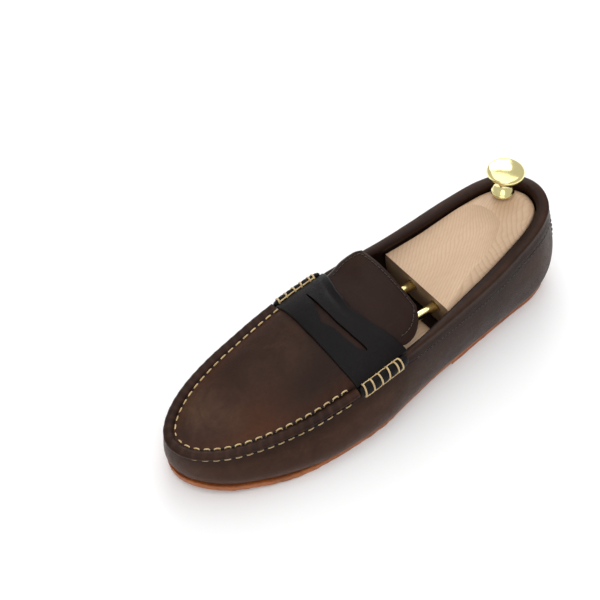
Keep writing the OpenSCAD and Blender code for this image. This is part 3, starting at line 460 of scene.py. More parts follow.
def across(ks, marks, n):
    """Positions across each row: at the given inset distances from both edges, then evenly between."""
    F = ring(16.5*ks); N = ring(33-16.5*ks); w = np.hypot(*(N[:, :2]-F[:, :2]).T)
    a = np.minimum(np.array(marks)[None]/w[:, None], 0.02 + 0.4*np.linspace(0, 1, len(marks))[None]); a = np.sort(a, 1)
    last = a[:, -1:]; mid = last + (1-2*last)*np.linspace(0, 1, n+2)[None, 1:-1]
    return np.concatenate([a, mid, 1-a[:, ::-1]], 1)
nk = 250
ks = cos_k(0.012, 0.988, nk); marks = [0, 1.2, 2.6, 4.4, 5.6, 6.4, 7.1, 7.8, 8.6, 10, 12]
tt = across(ks, marks, 40)
top = plate_rows(ks, None, tt, zt); bot = plate_rows(ks, None, tt, zb)
# distance of each vertex from the outline, for the stitch groove under the forefoot
Fk = ring(16.5*ks); Nk = ring(33-16.5*ks); wk = np.hypot(*(Nk[:, :2]-Fk[:, :2]).T)
LP = 0.5*(lipf(16.5*ks)+lipf(33-16.5*ks))[:, None]
dd = np.minimum(tt, 1-tt)*(wk[:, None]+2*LP) - LP
fore = ramp(bot[..., 0], 112, 150)
nz = vnoise(bot, 5.0)*0.35 + vnoise(bot, 2.2)*0.3
groove = np.exp(-((dd-5.5)/0.75)**2)*fore
bot[..., 2] += np.maximum(-0.05, 0.22+nz*0.45)*fore*(tt*(1-tt) > 1e-9) + 0.75*groove
rag = (vnoise(top*[1, 1, 0], 3.2)*0.5 + vnoise(top*[1, 1, 0], 8)*0.4)
edge_r = np.exp(-np.maximum(0, dd+LP)/1.6)
for Gd, sgn in ((top, 1), (bot, 1)):
    for side, col in ((1, slice(None)),):
        mid = 0.5*(Gd[:, :1]+Gd[:, -1:]); dirv = nrm((Gd-mid)*[1, 1, 0]); sg = edge_r*(0.15+0.55*fore)*rag
        Gd += dirv*sg[..., None]
top[..., 2] += vnoise(top, 4)*0.12*edge_r
slab("crepe_outsole_piece", top, bot, M["crepe"], edge=0.45, attrs={"pale": np.zeros_like(dd)+0.25*np.exp(-np.maximum(0, dd+LP)/1.5)}, slot="crepe_rubber", rep=("crepe_outsole",))
kl = cos_k(0.012, 0.372, 90); tl = across(kl, [0, 0.9, 2.0, 3.4, 5], 44)
def lift(zf):
    P = plate_rows(kl, None, tl, lambda x: 0*x)
    P[..., 0] -= 3.6*np.sin(np.pi*tl)**0.8*ramp(kl, 0.27, 0.372)[:, None]
    P[..., 2] = zf(P); return P
lt = lift(lambda P: 0*P[..., 0]+LIFT_T); lb = lift(lambda P: np.maximum(0, 0.10+vnoise(P, 3.1)*0.25+vnoise(P, 7)*0.15))
for Gd in (lt, lb):
    mid = 0.5*(Gd[:, :1]+Gd[:, -1:]); dirv = nrm((Gd-mid)*[1, 1, 0]); ee = np.exp(-np.minimum(tl, 1-tl)*40)
    Gd += dirv*(ee*vnoise(Gd*[1, 1, 0], 5)*0.22)[..., None]
slab("crepe_heel_lift_piece", lt, lb, M["crepe"], edge=0.4, attrs={"pale": 0.5*ramp(lt[..., 0], 101, 108)}, slot="crepe_rubber", rep=("crepe_heel_lift",))
mm_ = Many()
for s in np.arange(7.6, 25.2, 0.33):
    r = ring(s); n = out3(s); t = np.array([-n[1], n[0], 0]); c = np.array([r[0], r[1], 0]) - n*5.5; c[2] = zb(r[0])+0.32
    mm_.add(thread(stitch_path(c-t*1.9, c+t*1.9, -UP, 0.35, 0.9, 9), 0.52, 8, 2.0))
mm_.V = [np.concatenate([np.asarray(v)[:, :2], np.maximum(np.asarray(v)[:, 2:], 0.02)], -1) for v in mm_.V]   # the ground presses the threads flat
mm_.done("sole_stitch_threads", M["white"], slot="sole_thread", rep=("sole_stitches",))
# sock lining on the insole
kq = cos_k(0.02, 0.962, 90); tq = np.linspace(0, 1, 30)[None].repeat(90, 0)
def sock(o):
    return plate_rows(kq, 7.4, tq, lambda x: zb(x)+SOLE_T+o)
A = sock(5.4); A[..., 2] += vnoise(A, 18)*0.12
slab("sock_lining_piece", A, sock(4.2), M["lining"], edge=0.3, slot="lining_leather", rep=("sock_lining",))

# ------------------------------------------------------------------ upper
def wobble(P, n, a=0.28, b=0.10):
    return P + n*(vnoise(P, 34)*a + vnoise(P, 11)*b)[..., None]
nS = 420
ii = np.linspace(0, 1, nS)[:, None]
vv = np.concatenate([[-1, -0.5, -0.001], [0.006, 0.02], np.linspace(0.05, 1, 26)])[None]
bb = 0.9 + 2.6*(1-np.maximum(0, vv))**1.3
ss = bb + (33-2*bb)*ii
v2 = np.minimum(vv, 1-0.065*front(ss)); v2 = np.broadcast_to(v2, ss.shape)
A = wall_full(ss, v2, lap(ss)); B = wall_full(ss, v2, lap(ss)+HIDE)
n = wall_n(ss, np.clip(v2, 0.05, 1)); live = (v2 > 0.01)*1.0
al = arc(ss); drop = (1-v2)*np.maximum(5, ring(ss)[..., 4]-zt(ring(ss)[..., 0]))
puck = front(ss)*np.exp(-drop/5.5)*np.cos(2*np.pi*al/6.3)*0.30 + front(ss)*np.exp(-drop/11)*vnoise(np.stack([al, drop*0.25, 0*al], -1), 9)*0.35
flex = 0.10*np.exp(-((ring(ss)[..., 0]-196)/14)**2)*np.sin(drop*0.55+vnoise(A, 14)*1.2)*np.exp(-((drop-14)/9)**2)
dsp = (vnoise(A, 34)*0.30 + vnoise(A, 11)*0.11 + puck + flex)*live*ramp(v2, 0.0, 0.12)
A = A + n*dsp[..., None]; B = B + n*(dsp*0.9)[..., None]
warm = np.clip(0.85*np.exp(-((v2-0.10)/0.22)**2)*ramp(ring(ss)[..., 0], 90, 190) + 0.35*ramp(ring(ss)[..., 0], 130, 210)*(1-v2), 0, 1)
# painted sheen: a lighter band along the middle of the wall where it bulges, and on the wall at the heel, mixed with
# paler pull-up leather
pale_and_sheen = np.clip(0.55*np.exp(-((v2-0.55)/0.22)**2)*(0.35+0.65*ramp(ring(ss)[..., 0], 60, 200)) + 0.3*(1-ramp(ring(ss)[..., 0], 10, 90))*np.exp(-((v2-0.55)/0.3)**2), 0, 1)*0.8
# painted shade along the joint with the sole and just under the toe seam ridge
sole_joint_and_ridge_shade = np.clip(0.55*np.exp(-np.maximum(0, v2)/0.03) + 0.5*front(ss)*np.exp(-drop/2.0), 0, 1)*(v2 > -0.5)
slab("side_panel_leather", A, B, M["upper"], edge=0.35, attrs={"warm": warm, "pale_and_sheen": pale_and_sheen, "dark": sole_joint_and_ridge_shade}, slot="upper_leather", rep=("side_panel",))

sh = np.linspace(-4.2, 4.2, 90)[:, None]; hv = np.linspace(0.02, 1, 30)[None]
sh2, hv2 = np.broadcast_arrays(sh, hv)
A = wall(sh2, hv2, 1.35); B = wall(sh2, hv2, 2.85); n = wall_n(sh2, np.clip(hv2, 0.05, 1), 1.35)
y_ = np.abs(A[..., 1]); pull = 0.9*np.exp(-(y_/4.5)**2)*ramp(hv2, 0.05, 0.15)*(1-ramp(hv2, 0.74, 0.86))
A = A + n*(vnoise(A, 22)*0.25+vnoise(A, 7)*0.08 + pull)[..., None]
slab("heel_panel_leather", A, B, M["upper"], edge=0.3, attrs={"dark": 0.28+0*hv2, "warm": 0.15+0*hv2}, slot="upper_leather", rep=("heel_panel",))
# gathered fin at the centre back
SS = -0.8; FN = out3(SS); FN = FN/np.linalg.norm(FN); FT = np.array([-FN[1], FN[0], 0])
zz = np.linspace(0.09, 0.745, 110); P = wall(SS+0*zz, zz, 1.35); L = np.concatenate([[0], np.cumsum(np.linalg.norm(np.diff(P, axis=0), axis=1))])
envl = np.clip(1-((zz-0.42)/0.335)**6, 0.02, 1)**0.5
R = []
for i in range(len(zz)):
    c5 = np.cos(2*np.pi*L[i]/5.0); o = 4.6*envl[i]*(0.90+0.10*c5); w = 1.85*(1+0.20*c5)*envl[i]**0.5; sway = 0.35*np.sin(2*np.pi*L[i]/5.0+1)
    sec = []
    for a in np.linspace(0, 2*np.pi, 16, endpoint=False):
        dpt = -0.7 + (o+0.8)*(0.5+0.5*np.cos(a)); lat = sway*(0.5+0.5*np.cos(a)) + w*np.sin(a)*(0.78-0.22*np.cos(a))
        sec.append(P[i] + FN*dpt + FT*lat)
    R.append(sec)
loft("heel_seam_fin", R, M["roll"], slot="upper_leather", rep=("heel_seam",))
mm_ = Many()
for sy in (-1, 1):
    for c_ in np.arange(4.5, L[-1]-3, 5.0):
        za, zb_ = np.interp([c_-1.7, c_+1.7], L, zz)
        a = wall(SS, za, 1.35)+FN*0.95+FT*sy*2.6; b = wall(SS, zb_, 1.35)+FN*0.95+FT*sy*2.6
        mm_.add(thread(stitch_path(a, b, nrm(FN+FT*0.35*sy), 0.4, 1.2, 9), 0.44, 8, 2.0))
mm_.done("heel_seam_threads", M["thread"], slot="seam_thread", rep=("heel_seam_stitches",))

# collar band, narrower and thinner towards the rolls
sc_ = np.linspace(-8.55, 8.5, 280); Ltop = np.linalg.norm(top3(sc_)-wall(sc_, 0.5, 0.0), axis=-1)
dive = ramp(np.abs(sc_), 8.05, 8.5)*0.75
def band(outer):
    off = (ctf(sc_)-dive if outer else 0.15+0*sc_-dive*0.4); tip = (1.7 if outer else 0.55)-dive*1.2; O = off[:, None]; tp = tip[:, None]
    rows = [wall(sc_, 1-np.minimum(0.4, 0.5*cwf(sc_)*m/Ltop), lap(sc_)-off) for m in (1.0, 0.93, 0.84, 0.75, 0.6, 0.45, 0.3, 0.15)]
    n_ = out3(sc_); T = top3(sc_); ld = (lin_d(sc_)+LIN)[:, None]; lp = lap(sc_)[:, None]
    rows.append(wall(sc_, 1.0, lap(sc_)-off))
    a0 = T + n_*(O-0.35-lp) + UP*tp*0.65; a1 = T - n_*1.0 + UP*tp; a2 = T - n_*(ld+O-0.25) + UP*tp*0.65
    c0 = T + n_*(O-0.12-lp) + UP*tp*0.3
    rows += [c0, a0, 0.5*(a0+a1)+UP*tp*0.12, a1, 0.5*(a1+a2)+UP*tp*0.14, a2]
    rows += [wall(sc_, v, lin_d(sc_)+LIN+off) for v in (0.97, 0.94, 0.90, 0.86, 0.84)]
    return np.stack(rows, 1)
A = band(True); B = band(False)
bz = vnoise(A, 16)*0.14+vnoise(A, 5)*0.05; n = nrm(A-B)
mrow = np.array([0, 0.07, 0.16, 0.25, 0.4, 0.55, 0.7, 0.85, 1]+[2]*11)*12
A = A + n*(bz - 0.16*np.exp(-((mrow-1.9)/0.6)**2) - 0.30*np.exp(-((mrow-9.0)/1.2)**2))[..., None]
# painted sheen over the upper band and the top of the rolled topline; painted shade in the groove on the band's upper
# part and down the inside of the shoe; a dark line at the lower cut edge that is partly the edge's own colour and
# partly a painted shadow under the step
painted_sheen_rows = np.zeros(A.shape[:2]); painted_sheen_rows[:, 6:13] = 0.30; cut_edge_and_shade_rows = np.zeros(A.shape[:2]); cut_edge_and_shade_rows[:, :1] = 0.8; cut_edge_and_shade_rows[:, 6:8] += 0.22; cut_edge_and_shade_rows[:, -3:] = 0.2
slab("collar_band", A, B, M["upper"], edge=0.25, attrs={"pale_and_sheen": painted_sheen_rows, "dark": cut_edge_and_shade_rows}, slot="upper_leather", rep=("collar_binding",))
mm_ = Many(); la = arc(-8.0); lb_ = arc(7.9)
for l in np.arange(la, lb_, 3.0):
    s0, s1 = s_at(l), s_at(l+2.1); P2 = []
    for s_ in (s0, s1):
        Lt = np.linalg.norm(top3(s_)-wall(s_, 0.5, 0.0)); P2.append(wall(s_, 1-min(0.4, 0.5*cwf(s_)*0.84/Lt), lap(s_)-ctf(s_)+0.06))
    mm_.add(thread(stitch_path(P2[0], P2[1], wall_n(s0, 0.85), 0.16, 0.5, 7), 0.2, 6))
mm_.done("collar_top_stitching", M["fine"], slot="upper_leather")

# lining
sl = np.linspace(0, 33, 301)[:-1][:, None]; lv = np.linspace(0, 1, 16)[None]
sl2, lv2 = np.broadcast_arrays(sl, lv); lv3 = 0.14 + (0.985-0.1*front(sl2)-0.14)*lv2
A = wall(sl2, lv3, lin_d(sl2)); B = wall(sl2, lv3, lin_d(sl2)+LIN); B = B + nrm(B-A)*(vnoise(B, 20)*0.2)[..., None]
slab("quarter_lining_leather", A, B, M["lining"], edge=0.2, loop=True, slot="lining_leather", rep=("quarter_lining",))

# toe plug
kp = np.linspace(0.12, 0.955, 150)[:, None]; nq = 70
em = (edge_mm(kp)-0.9); aq = in_q(kp, em); u = np.linspace(0, 1, nq)[None]; u = 0.5-0.5*np.cos(np.pi*u)*0.5 - 0.5*(1-2*u)*0.5
qq = aq + (1-2*aq)*u; kk = np.broadcast_to(kp, qq.shape)
A = dome(kk, qq, 0.0)
W_ = np.linalg.norm(top3(25-8.5*kk)-top3(8+8.5*kk), axis=-1); de = np.minimum(qq, 1-qq)*W_       # distance from the seam line
endd = (0.955-kk)*np.linalg.norm(np.gradient(A[:, nq//2], axis=0), axis=-1).mean()*149/0.835
dek = np.minimum(de, np.maximum(0, endd)+3.0)
A[..., 2] += -0.7*np.exp(-((dek-2.2)/1.2)**2) - 0.35*np.exp(-((dek-5.0)/2.5)**2)
n = nrm(np.cross(np.gradient(A, axis=0), np.gradient(A, axis=1))); n *= np.sign(n[..., 2:3])
crease = 0.06*np.exp(-((A[..., 0]-198)/10)**2)*np.sin((A[..., 0]-190)*0.9+vnoise(A, 12)*1.4)*(0.4+0.6*np.abs(np.cos(A[..., 1]*0.05)))
gather = 0.16*np.exp(-((dek-4.2)/2.6)**2)*np.cos(2*np.pi*arc(8+8.5*kk)/6.3)
A = A + n*(vnoise(A, 30)*0.45 + vnoise(A, 12)*0.14 + crease + gather)[..., None]
B = A - n*HIDE
fx = A[..., 0]; fy = A[..., 1]
# painted highlight on the toe and across the plug top towards the strap, over paler pull-up leather at the toe and
# random patches
pale_and_sheen = np.clip(0.95*np.exp(-(((fx-268)/17)**2+((fy+2)/22)**2)) + 0.30*np.exp(-(((fx-222)/26)**2+((fy-2)/28)**2)) + 0.2*vnoise(A, 26), 0, 1)
warm = np.clip(0.7*np.exp(-(((fx-248)/22)**2+((fy-24)/15)**2)) + 0.45*np.exp(-((dek-6)/4)**2), 0, 1)
# painted shade in the gutter beside the toe seam ridge, carried by the dark attribute
slab("toe_plug_leather", A, B, M["upper"], edge=0.3, attrs={"pale_and_sheen": pale_and_sheen, "warm": warm, "dark": 0.75*np.exp(-((dek-2.0)/1.3)**2)}, slot="upper_leather", rep=("toe_plug",))

# tongue with its suede underside
TNG = np.array([[0.16,0.07,0.93,-2.1,0],[0.12,0.07,0.93,-2.1,0],[0.085,0.07,0.93,-0.7,0],[0.05,0.07,0.93,-0.3,0.05],[0.01,0.065,0.945,0,0.2],
 [-0.03,0.05,0.935,0.3,0.45],[-0.065,0.065,0.9,0.4,0.7],[-0.09,0.09,0.85,0.5,0.88],[-0.105,0.13,0.79,0.6,1]])
def smooth_rows(i):
    x = np.arange(9); out = []
    for c in range(5):
        y = TNG[:, c]; d = np.gradient(y); j = np.clip(np.floor(i).astype(int), 0, 7); t = i-j
        out.append((2*t**3-3*t**2+1)*y[j] + (t**3-2*t**2+t)*d[j] + (-2*t**3+3*t**2)*y[j+1] + (t**3-t**2)*d[j+1])
    return np.stack(out, -1)
def tongue(ir, q, o):
    r = smooth_rows(ir); t = r[:, 1:2] + (r[:, 2]-r[:, 1])[:, None]*q[None]
    k = np.broadcast_to(r[:, 0:1], t.shape)
    P = dome(k, t, r[:, 3:4]+o)
    P[..., 2] += r[:, 4:5]*11.5*np.maximum(0, 1-t/0.75)**1.6
    return P, t
ir = np.linspace(0, 8, 110); qt = np.linspace(0, 1, 60); 
A, tq_ = tongue(ir, qt, 0.0); nT = nrm(np.cross(np.gradient(A, axis=0), np.gradient(A, axis=1))); nT *= np.sign(nT[..., 2:3])
wv = vnoise(A, 22)*0.3+vnoise(A, 8)*0.09
ed = np.minimum(np.minimum(qt[None], 1-qt[None])*70, (8-ir[:, None])*5.2)
puff = 0.45*ramp(ed, 0.1, 1.6) - 0.20*np.exp(-((ed-4.2)/0.45)**2)
A1 = A + nT*(wv + puff - 0.3)[..., None]; B1 = A + nT*(wv-1.5)[..., None]
# painted highlight: one half of the tongue lighter, strongest at its raised rear end
pale_and_sheen = 0.35*ramp(tq_, 0.55, 0.05)*ramp(ir, 3, 8)[:, None] + 0*tq_
# painted shade in the stitch groove 4.2 mm in from the tongue's edge, over an even slight darkening
slab("tongue_leather", A1, B1, M["upper"], edge=0.45, attrs={"pale_and_sheen": np.abs(pale_and_sheen), "dark": 0.4*np.exp(-((ed-4.2)/0.8)**2)+0.12}, slot="upper_leather", rep=("tongue",))
mm_ = Many(); es = np.concatenate([np.c_[np.linspace(3.4, 7.25, 120), np.full(120, 0.0)], np.c_[np.full(120, 7.25), np.linspace(0, 1, 120)], np.c_[np.linspace(7.25, 3.4, 120), np.full(120, 1.0)]])
wdt = lambda i_: np.linalg.norm(tongue(np.array([i_]), np.array([0, 1.0]), 0.0)[0][0, 0]-tongue(np.array([i_]), np.array([0, 1.0]), 0.0)[0][0, 1])
LN = []
for i_, q_ in es:
    q2 = min(1-4.2/wdt(i_), max(4.2/wdt(i_), q_)); LN.append(tongue(np.array([i_]), np.array([q2]), 0.32)[0][0, 0])
LN = np.array(LN); keep = np.concatenate([[True], np.linalg.norm(np.diff(LN, axis=0), axis=1) > 1e-3]); LN = LN[keep]
for _ in range(14): LN[1:-1] = 0.5*LN[1:-1]+0.25*(LN[2:]+LN[:-2])
LN[:, 2] += vnoise(LN, 22)*0.3; ll = np.concatenate([[0], np.cumsum(np.linalg.norm(np.diff(LN, axis=0), axis=1))])
for l in np.arange(1, ll[-1]-3, 2.9):
    P = np.array([[np.interp(l+x, ll, LN[:, c_]) for c_ in range(3)] for x in np.linspace(0, 2.0, 7)]); P[:, 2] += 0.12*np.sin(np.pi*np.linspace(0, 1, 7))**0.6-0.22*(1-np.sin(np.pi*np.linspace(0, 1, 7)))**2
    mm_.add(thread(P, 0.19, 6))
mm_.done("tongue_stitching", M["fine"], slot="upper_leather")
A2 = A[:108, 1:-1] + nT[:108, 1:-1]*(wv[:108, 1:-1]-1.72)[..., None]; B2 = A[:108, 1:-1] + nT[:108, 1:-1]*(wv[:108, 1:-1]-2.6-0.3*np.abs(vnoise(A[:108, 1:-1], 3)))[..., None]
slab("tongue_suede", A2, B2, M["suede"], edge=0.3, slot="suede_side", rep=("tongue_lining",))

# saddle strap with its brace-shaped slot
def strap_k(i, q):
    rear = np.interp(q, [0,0.06,0.3,0.5,0.69,0.85,1], [0.035,0.04,0.085,0.105,0.09,0.06,0.035]); 
    frt = np.interp(q, [0,0.15,0.41,0.61,0.81,1], [0.262,0.268,0.283,0.286,0.282,0.268])
    return rear + (frt-rear)*i
qf = np.linspace(-0.05, 1.05, 400); kern = np.exp(-np.linspace(-2.5, 2.5, 41)**2); kern /= kern.sum()
rear_s = np.convolve(np.pad(strap_k(0, qf), 20, mode="edge"), kern, "valid"); frt_s = np.convolve(np.pad(strap_k(1, qf), 20, mode="edge"), kern, "valid")
st_i = np.linspace(0, 1, 70)[:, None]; st_q = np.concatenate([np.linspace(0.014, 0.07, 14)[:-1], np.linspace(0.07, 0.93, 104), np.linspace(0.93, 0.986, 14)[1:]])[None]
rr_ = np.interp(st_q, qf, rear_s); ff_ = np.interp(st_q, qf, frt_s); kst = rr_ + (ff_-rr_)*st_i; qst = np.broadcast_to(st_q, kst.shape)
lipo = 0.5*(1-ramp(kst, 0.06, 0.12))
A = dome(kst, qst, 1.9+lipo)
lipx = (kst-rr_)*150; lipz = 0.25*np.exp(-((lipx-0.4)/1.3)**2)-0.25*np.exp(-((lipx-4.0)/1.6)**2)
A[..., 2] += lipz + vnoise(A, 24)*0.25 + vnoise(A, 9)*0.08; B = dome(kst, qst, 0.2+lipo)
strap = slab("saddle_strap_leather", A, B, M["strap"], edge=0.4, attrs={"pale_and_sheen": 0.25*np.clip(vnoise(A, 18)+0.3, 0, 1)}, body=None)
SLOT = np.array([[177,-22.6],[178,-6.2],[178,7.5],[176.3,19.5],[173.8,30.5],[175,31.5],[178.3,27.4],[180.6,18.8],[182.1,9.4],[184.8,1.6],[182.3,-4.7],[179,-14.4],[177.9,-21.8]], float)
ms_ = len(SLOT); pts = []
for i in range(ms_):
    p0, p1, p2, p3 = (SLOT[(i+j) % ms_] for j in (-1, 0, 1, 2))
    for t in np.linspace(0, 1, 7)[:-1]:
        cr = 0.5*(2*p1+(p2-p0)*t+(2*p0-5*p1+4*p2-p3)*t*t+(3*p1-p0-3*p2+p3)*t**3); lin = p1+(p2-p1)*t; pts.append(0.45*cr+0.55*lin)
pts = np.array(pts); npz = len(pts)
V = np.concatenate([np.c_[pts, np.full(npz, 40.0)], np.c_[pts, np.full(npz, 90.0)]])
cut = make("slot_cutter", V, [tuple(range(npz)), tuple(range(npz, 2*npz))] + [(j, (j+1) % npz, npz+(j+1) % npz, npz+j) for j in range(npz)], M["strap"], body=None, smooth=False)
def boolean(o, c, op="DIFFERENCE"):
    m = o.modifiers.new("b", "BOOLEAN"); m.operation = op; m.solver = "EXACT"; m.object = c
    bpy.context.view_layer.update(); apply_mods(o)
    me = c.data; bpy.data.objects.remove(c); bpy.data.meshes.remove(me)
boolean(strap, cut); strap.data.polygons.foreach_set("use_smooth", [True]*len(strap.data.polygons)); mark_sharp(strap.data, 38)
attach(strap, "shoe"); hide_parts("saddle_strap")

# ------------------------------------------------------------------ seam round the toe
n_r = 420; sr = np.linspace(10.28, 22.62, n_r); lr = arc(sr); cr_ = top3(sr)+out3(sr)*0.3+UP*0.9; no = out3(sr)
ph = np.cos(2*np.pi*(lr-arc(10.35))/6.3)
wv_ = vnoise(cr_, 11)*0.25
R = []
for a in np.linspace(0, 2*np.pi, 20, endpoint=False):
    w = 3.1*(1+0.02*ph); h = 2.1*(1+0.055*ph+0.05*wv_)
    ca, sa = np.cos(a), np.sin(a)
    # rolled edge: a little flatter inside, with a cut edge low on the outside
    R.append(cr_ + no*(w*ca*(0.9+0.1*abs(ca)))[:, None] + UP*(h*sa + 0.12*wv_)[:, None])
R = np.stack(R, 1)
loft("toe_seam_ridge_leather", R, M["upper"], attrs={"pale_and_sheen": np.repeat(0.25*np.clip(ph, 0, 1)[:, None], 20, 1), "warm": np.repeat(0.4*np.clip(vnoise(cr_, 20), 0, 1)[:, None], 20, 1)}, slot="upper_leather", rep=("toe_seam_ridge",))
mm_ = Many(); hole_shade_discs = Many(); l0, l1 = arc(10.35), arc(22.5)
for l in np.arange(l0, l1, 6.3):
    s_ = float(s_at(l)); n_ = out3(s_); t_ = tan3(s_); c = top3(s_)-n_*3.5; c[2] = plug_z(s_, 3.5)-0.15; nn_ = nrm(UP*0.95-n_*0.30)
    ca_, cb_ = float(s_at(l-2.1)), float(s_at(l+2.1)); a = top3(ca_)-out3(ca_)*3.5; a[2] = plug_z(ca_, 3.5)-0.15; b = top3(cb_)-out3(cb_)*3.5; b[2] = plug_z(cb_, 3.5)-0.15
    mm_.add(thread(stitch_path(a, b, nn_, 0.36, 1.0, 11), 0.47, 8, 1.6))
    d = wall(s_, 0.875, -0.1); wn = wall_n(s_, 0.875); t2 = nrm(t_ - wn*np.dot(t_, wn))
    a2, b2 = d-t2*2.0, d+t2*2.0
    mm_.add(thread(stitch_path(a2, b2, wn, 0.26, 0.9, 11), 0.42, 8, 1.6))
    # painted shade: small near-black discs sunk at both ends of each stitch stand in for the shadow inside the stitch
    # holes
    for p, q_, nv, tt_ in ((a, b, nn_, t_), (b, a, nn_, -t_), (a2, b2, wn, t2), (b2, a2, wn, -t2)):
        side_ = np.cross(nv, tt_); o_ = p - tt_*0.55 - nv*0.05
        ang = np.linspace(0, 2*np.pi, 12, endpoint=False)
        Rr = [o_ + nv*h_ + (tt_*np.cos(ang)[:, None]*0.95 + side_*np.sin(ang)[:, None]*0.62)*f_ for h_, f_ in ((-0.5, 0.5), (-0.25, 0.9), (0.02, 1.0), (0.16, 0.75))]
        hole_shade_discs.add(np.array(Rr))
mm_.done("toe_seam_threads", M["thread"], slot="seam_thread", rep=("toe_seam_stitches",))
hole_shade_discs.done("toe_seam_hole_shade", M["hole"], slot="upper_leather")

# beef rolls: flat oval rolls that lean against the side panels
HT = np.array([0, 0.205, 0.41, 0.615, 0.82, 0.93])
def roll_axes(s):
    n_ = out3(s); return top3(s)+n_*1.75+UP*0.3, n_*0.94+UP*0.35, UP*0.94-n_*0.35
def roll(name, a, b, ha, hb, node):
    m = 150; t = np.linspace(0, 1, m); s = a+(b-a)*t; e = np.maximum(np.sqrt(np.clip(1-(2*t-1)**8, 0.0, 1)), 0.12)
    hs = ha+(hb-ha)*HT; c, N_, U_ = roll_axes(s); l = arc(s); hl = arc(hs)
    near = np.abs(l[:, None]-hl[None]).min(1); bulge = 1.0+0.12*(1-np.exp(-(near/1.7)**2)) - 0.10*np.exp(-(near/0.8)**2)
    R = np.stack([c + N_*(2.2*e*bulge*np.sin(an))[:, None] + U_*(3.85*e*bulge*np.cos(an))[:, None] for an in np.linspace(0, 2*np.pi, 40, endpoint=False)], 1)
    d = nrm(R-c[:, None]); R = R + d*(vnoise(R, 2.4)*0.16+vnoise(R, 5.5)*0.20)[..., None]
    loft(name, R, M["roll"], attrs={"pale_and_sheen": np.broadcast_to(0.10, R.shape[:2]).copy()}, slot="strap_leather", rep=(node,))
roll("beef_roll_inner_leather", 8.3, 10.25, 10.05, 8.5, "beef_roll_inner")
roll("beef_roll_outer_leather", 22.65, 24.6, 22.85, 24.4, "beef_roll_outer")
mm_ = Many()
def hoop_pt(s, w, k=1.0):
    w = np.radians(w); c, N_, U_ = roll_axes(s); return c + N_*(2.35*np.sin(w)*k) + U_*(4.0*np.cos(w)*k)
for a, b in ((10.05, 8.5), (22.85, 24.4)):
    for i, h in enumerate(HT):
        s_ = a+(b-a)*h; w = np.linspace(-34, 156, 30); lean = 0.03*math.sin(i*2.3+a)
        P = np.array([hoop_pt(s_+lean*(x-60)/100, x, 1.0+0.012*math.sin(x*0.07+i)) for x in w]); P[0] -= out3(s_)*0.9; P[-1] -= out3(s_)*0.8
        mm_.add(thread(P, 0.56, 10, 1.4))
    for i in range(5):
        for w0, w1 in ((-24, -20), (146, 140)):
            h0, h1 = HT[i], HT[i+1]; tt_ = np.linspace(0.05, 0.95, 9)
            P = np.array([hoop_pt(a+(b-a)*(h0+(h1-h0)*x), w0+(w1-w0)*x, 1.0+0.04*math.sin(math.pi*x)) for x in tt_])
            mm_.add(thread(P, 0.46, 8, 1.4))
mm_.done("beef_roll_cords", M["thread"], slot="seam_thread", rep=("beef_roll_stitches",))

# ------------------------------------------------------------------ shoe tree
TY1, TY2, TZ = -3.5, 18.5, 39.6
SPLIT = 25.5
def lk(x, tab): return np.interp(x, [t[0] for t in tab], [t[1] for t in tab])
def soft(x, tab, w):
    """Table lookup rounded over a width w."""
    o = np.linspace(-1, 1, 15); k = np.exp(-2.5*o*o); k /= k.sum()
    return sum(ki*lk(x+w*oi, tab) for ki, oi in zip(k, o))
BVT = [[0,0.86],[1,0.9],[2,0.93],[3,0.945],[4,0.95],[4.6,0.92],[5,0.89],[7,0.88]]; BZS = [[0,1],[2,3.2],[3,4],[3.7,5.6],[4.6,8.5],[7,9]]
def blk_d(s): return lin_d(s)+LIN+2.15
def blk_row(s):
    vt = float(soft(s, BVT, 0.35)); vb = 0.3
    F = lambda v: wall(s, v, blk_d(s)); N = lambda v: wall(33-s, v, blk_d(33-s))
    f, g, fb, gb = F(vt), N(vt), F(vb), N(vb); zs = float(soft(s, BZS, 0.35))
    rows = [F(v) for v in np.linspace(vb, vt, 20)]
    rows += [f+(g-f)*q+UP*(zs*max(0, math.sin(math.pi*q))**0.8+0.4*min(1, min(q, 1-q)/0.03)) for q in np.linspace(0.012, 0.988, 56)]
    rows += [N(v) for v in np.linspace(vt, vb, 20)]
    rows += [fb+(gb-fb)*q-UP*((2.5+ramp(s, 0.5, 2.5)*1.5)*min(1, min(q, 1-q)/0.12)) for q in np.linspace(0.97, 0.03, 24)]
    return np.array(rows)
def round_corners(R, n_it=2, keep=0.5):
    for _ in range(n_it):
        R = R*(1-keep) + 0.5*keep*(np.roll(R, 1, 1)+np.roll(R, -1, 1))
    return R
R = np.array([blk_row(s) for s in np.concatenate([[0.28, 0.34, 0.42], np.linspace(0.5, 6.4, 80)])])
R = round_corners(R, 3)
c0 = R[0].mean(0); R[0] = c0+(R[0]-c0)*0.93; R[1] = R[1].mean(0)+(R[1]-R[1].mean(0))*0.985
block = loft("tree_heel_block_wood", R, M["beech"], body=None)
def prism_y(name, poly, y0, y1):
    k = len(poly); V = [[x, y, z] for y in (y0, y1) for x, z in poly]
    return make(name, V, [tuple(range(k)), tuple(range(k, 2*k))]+[(j, (j+1) % k, k+(j+1) % k, k+j) for j in range(k)], M["beech"], body=None, smooth=False)
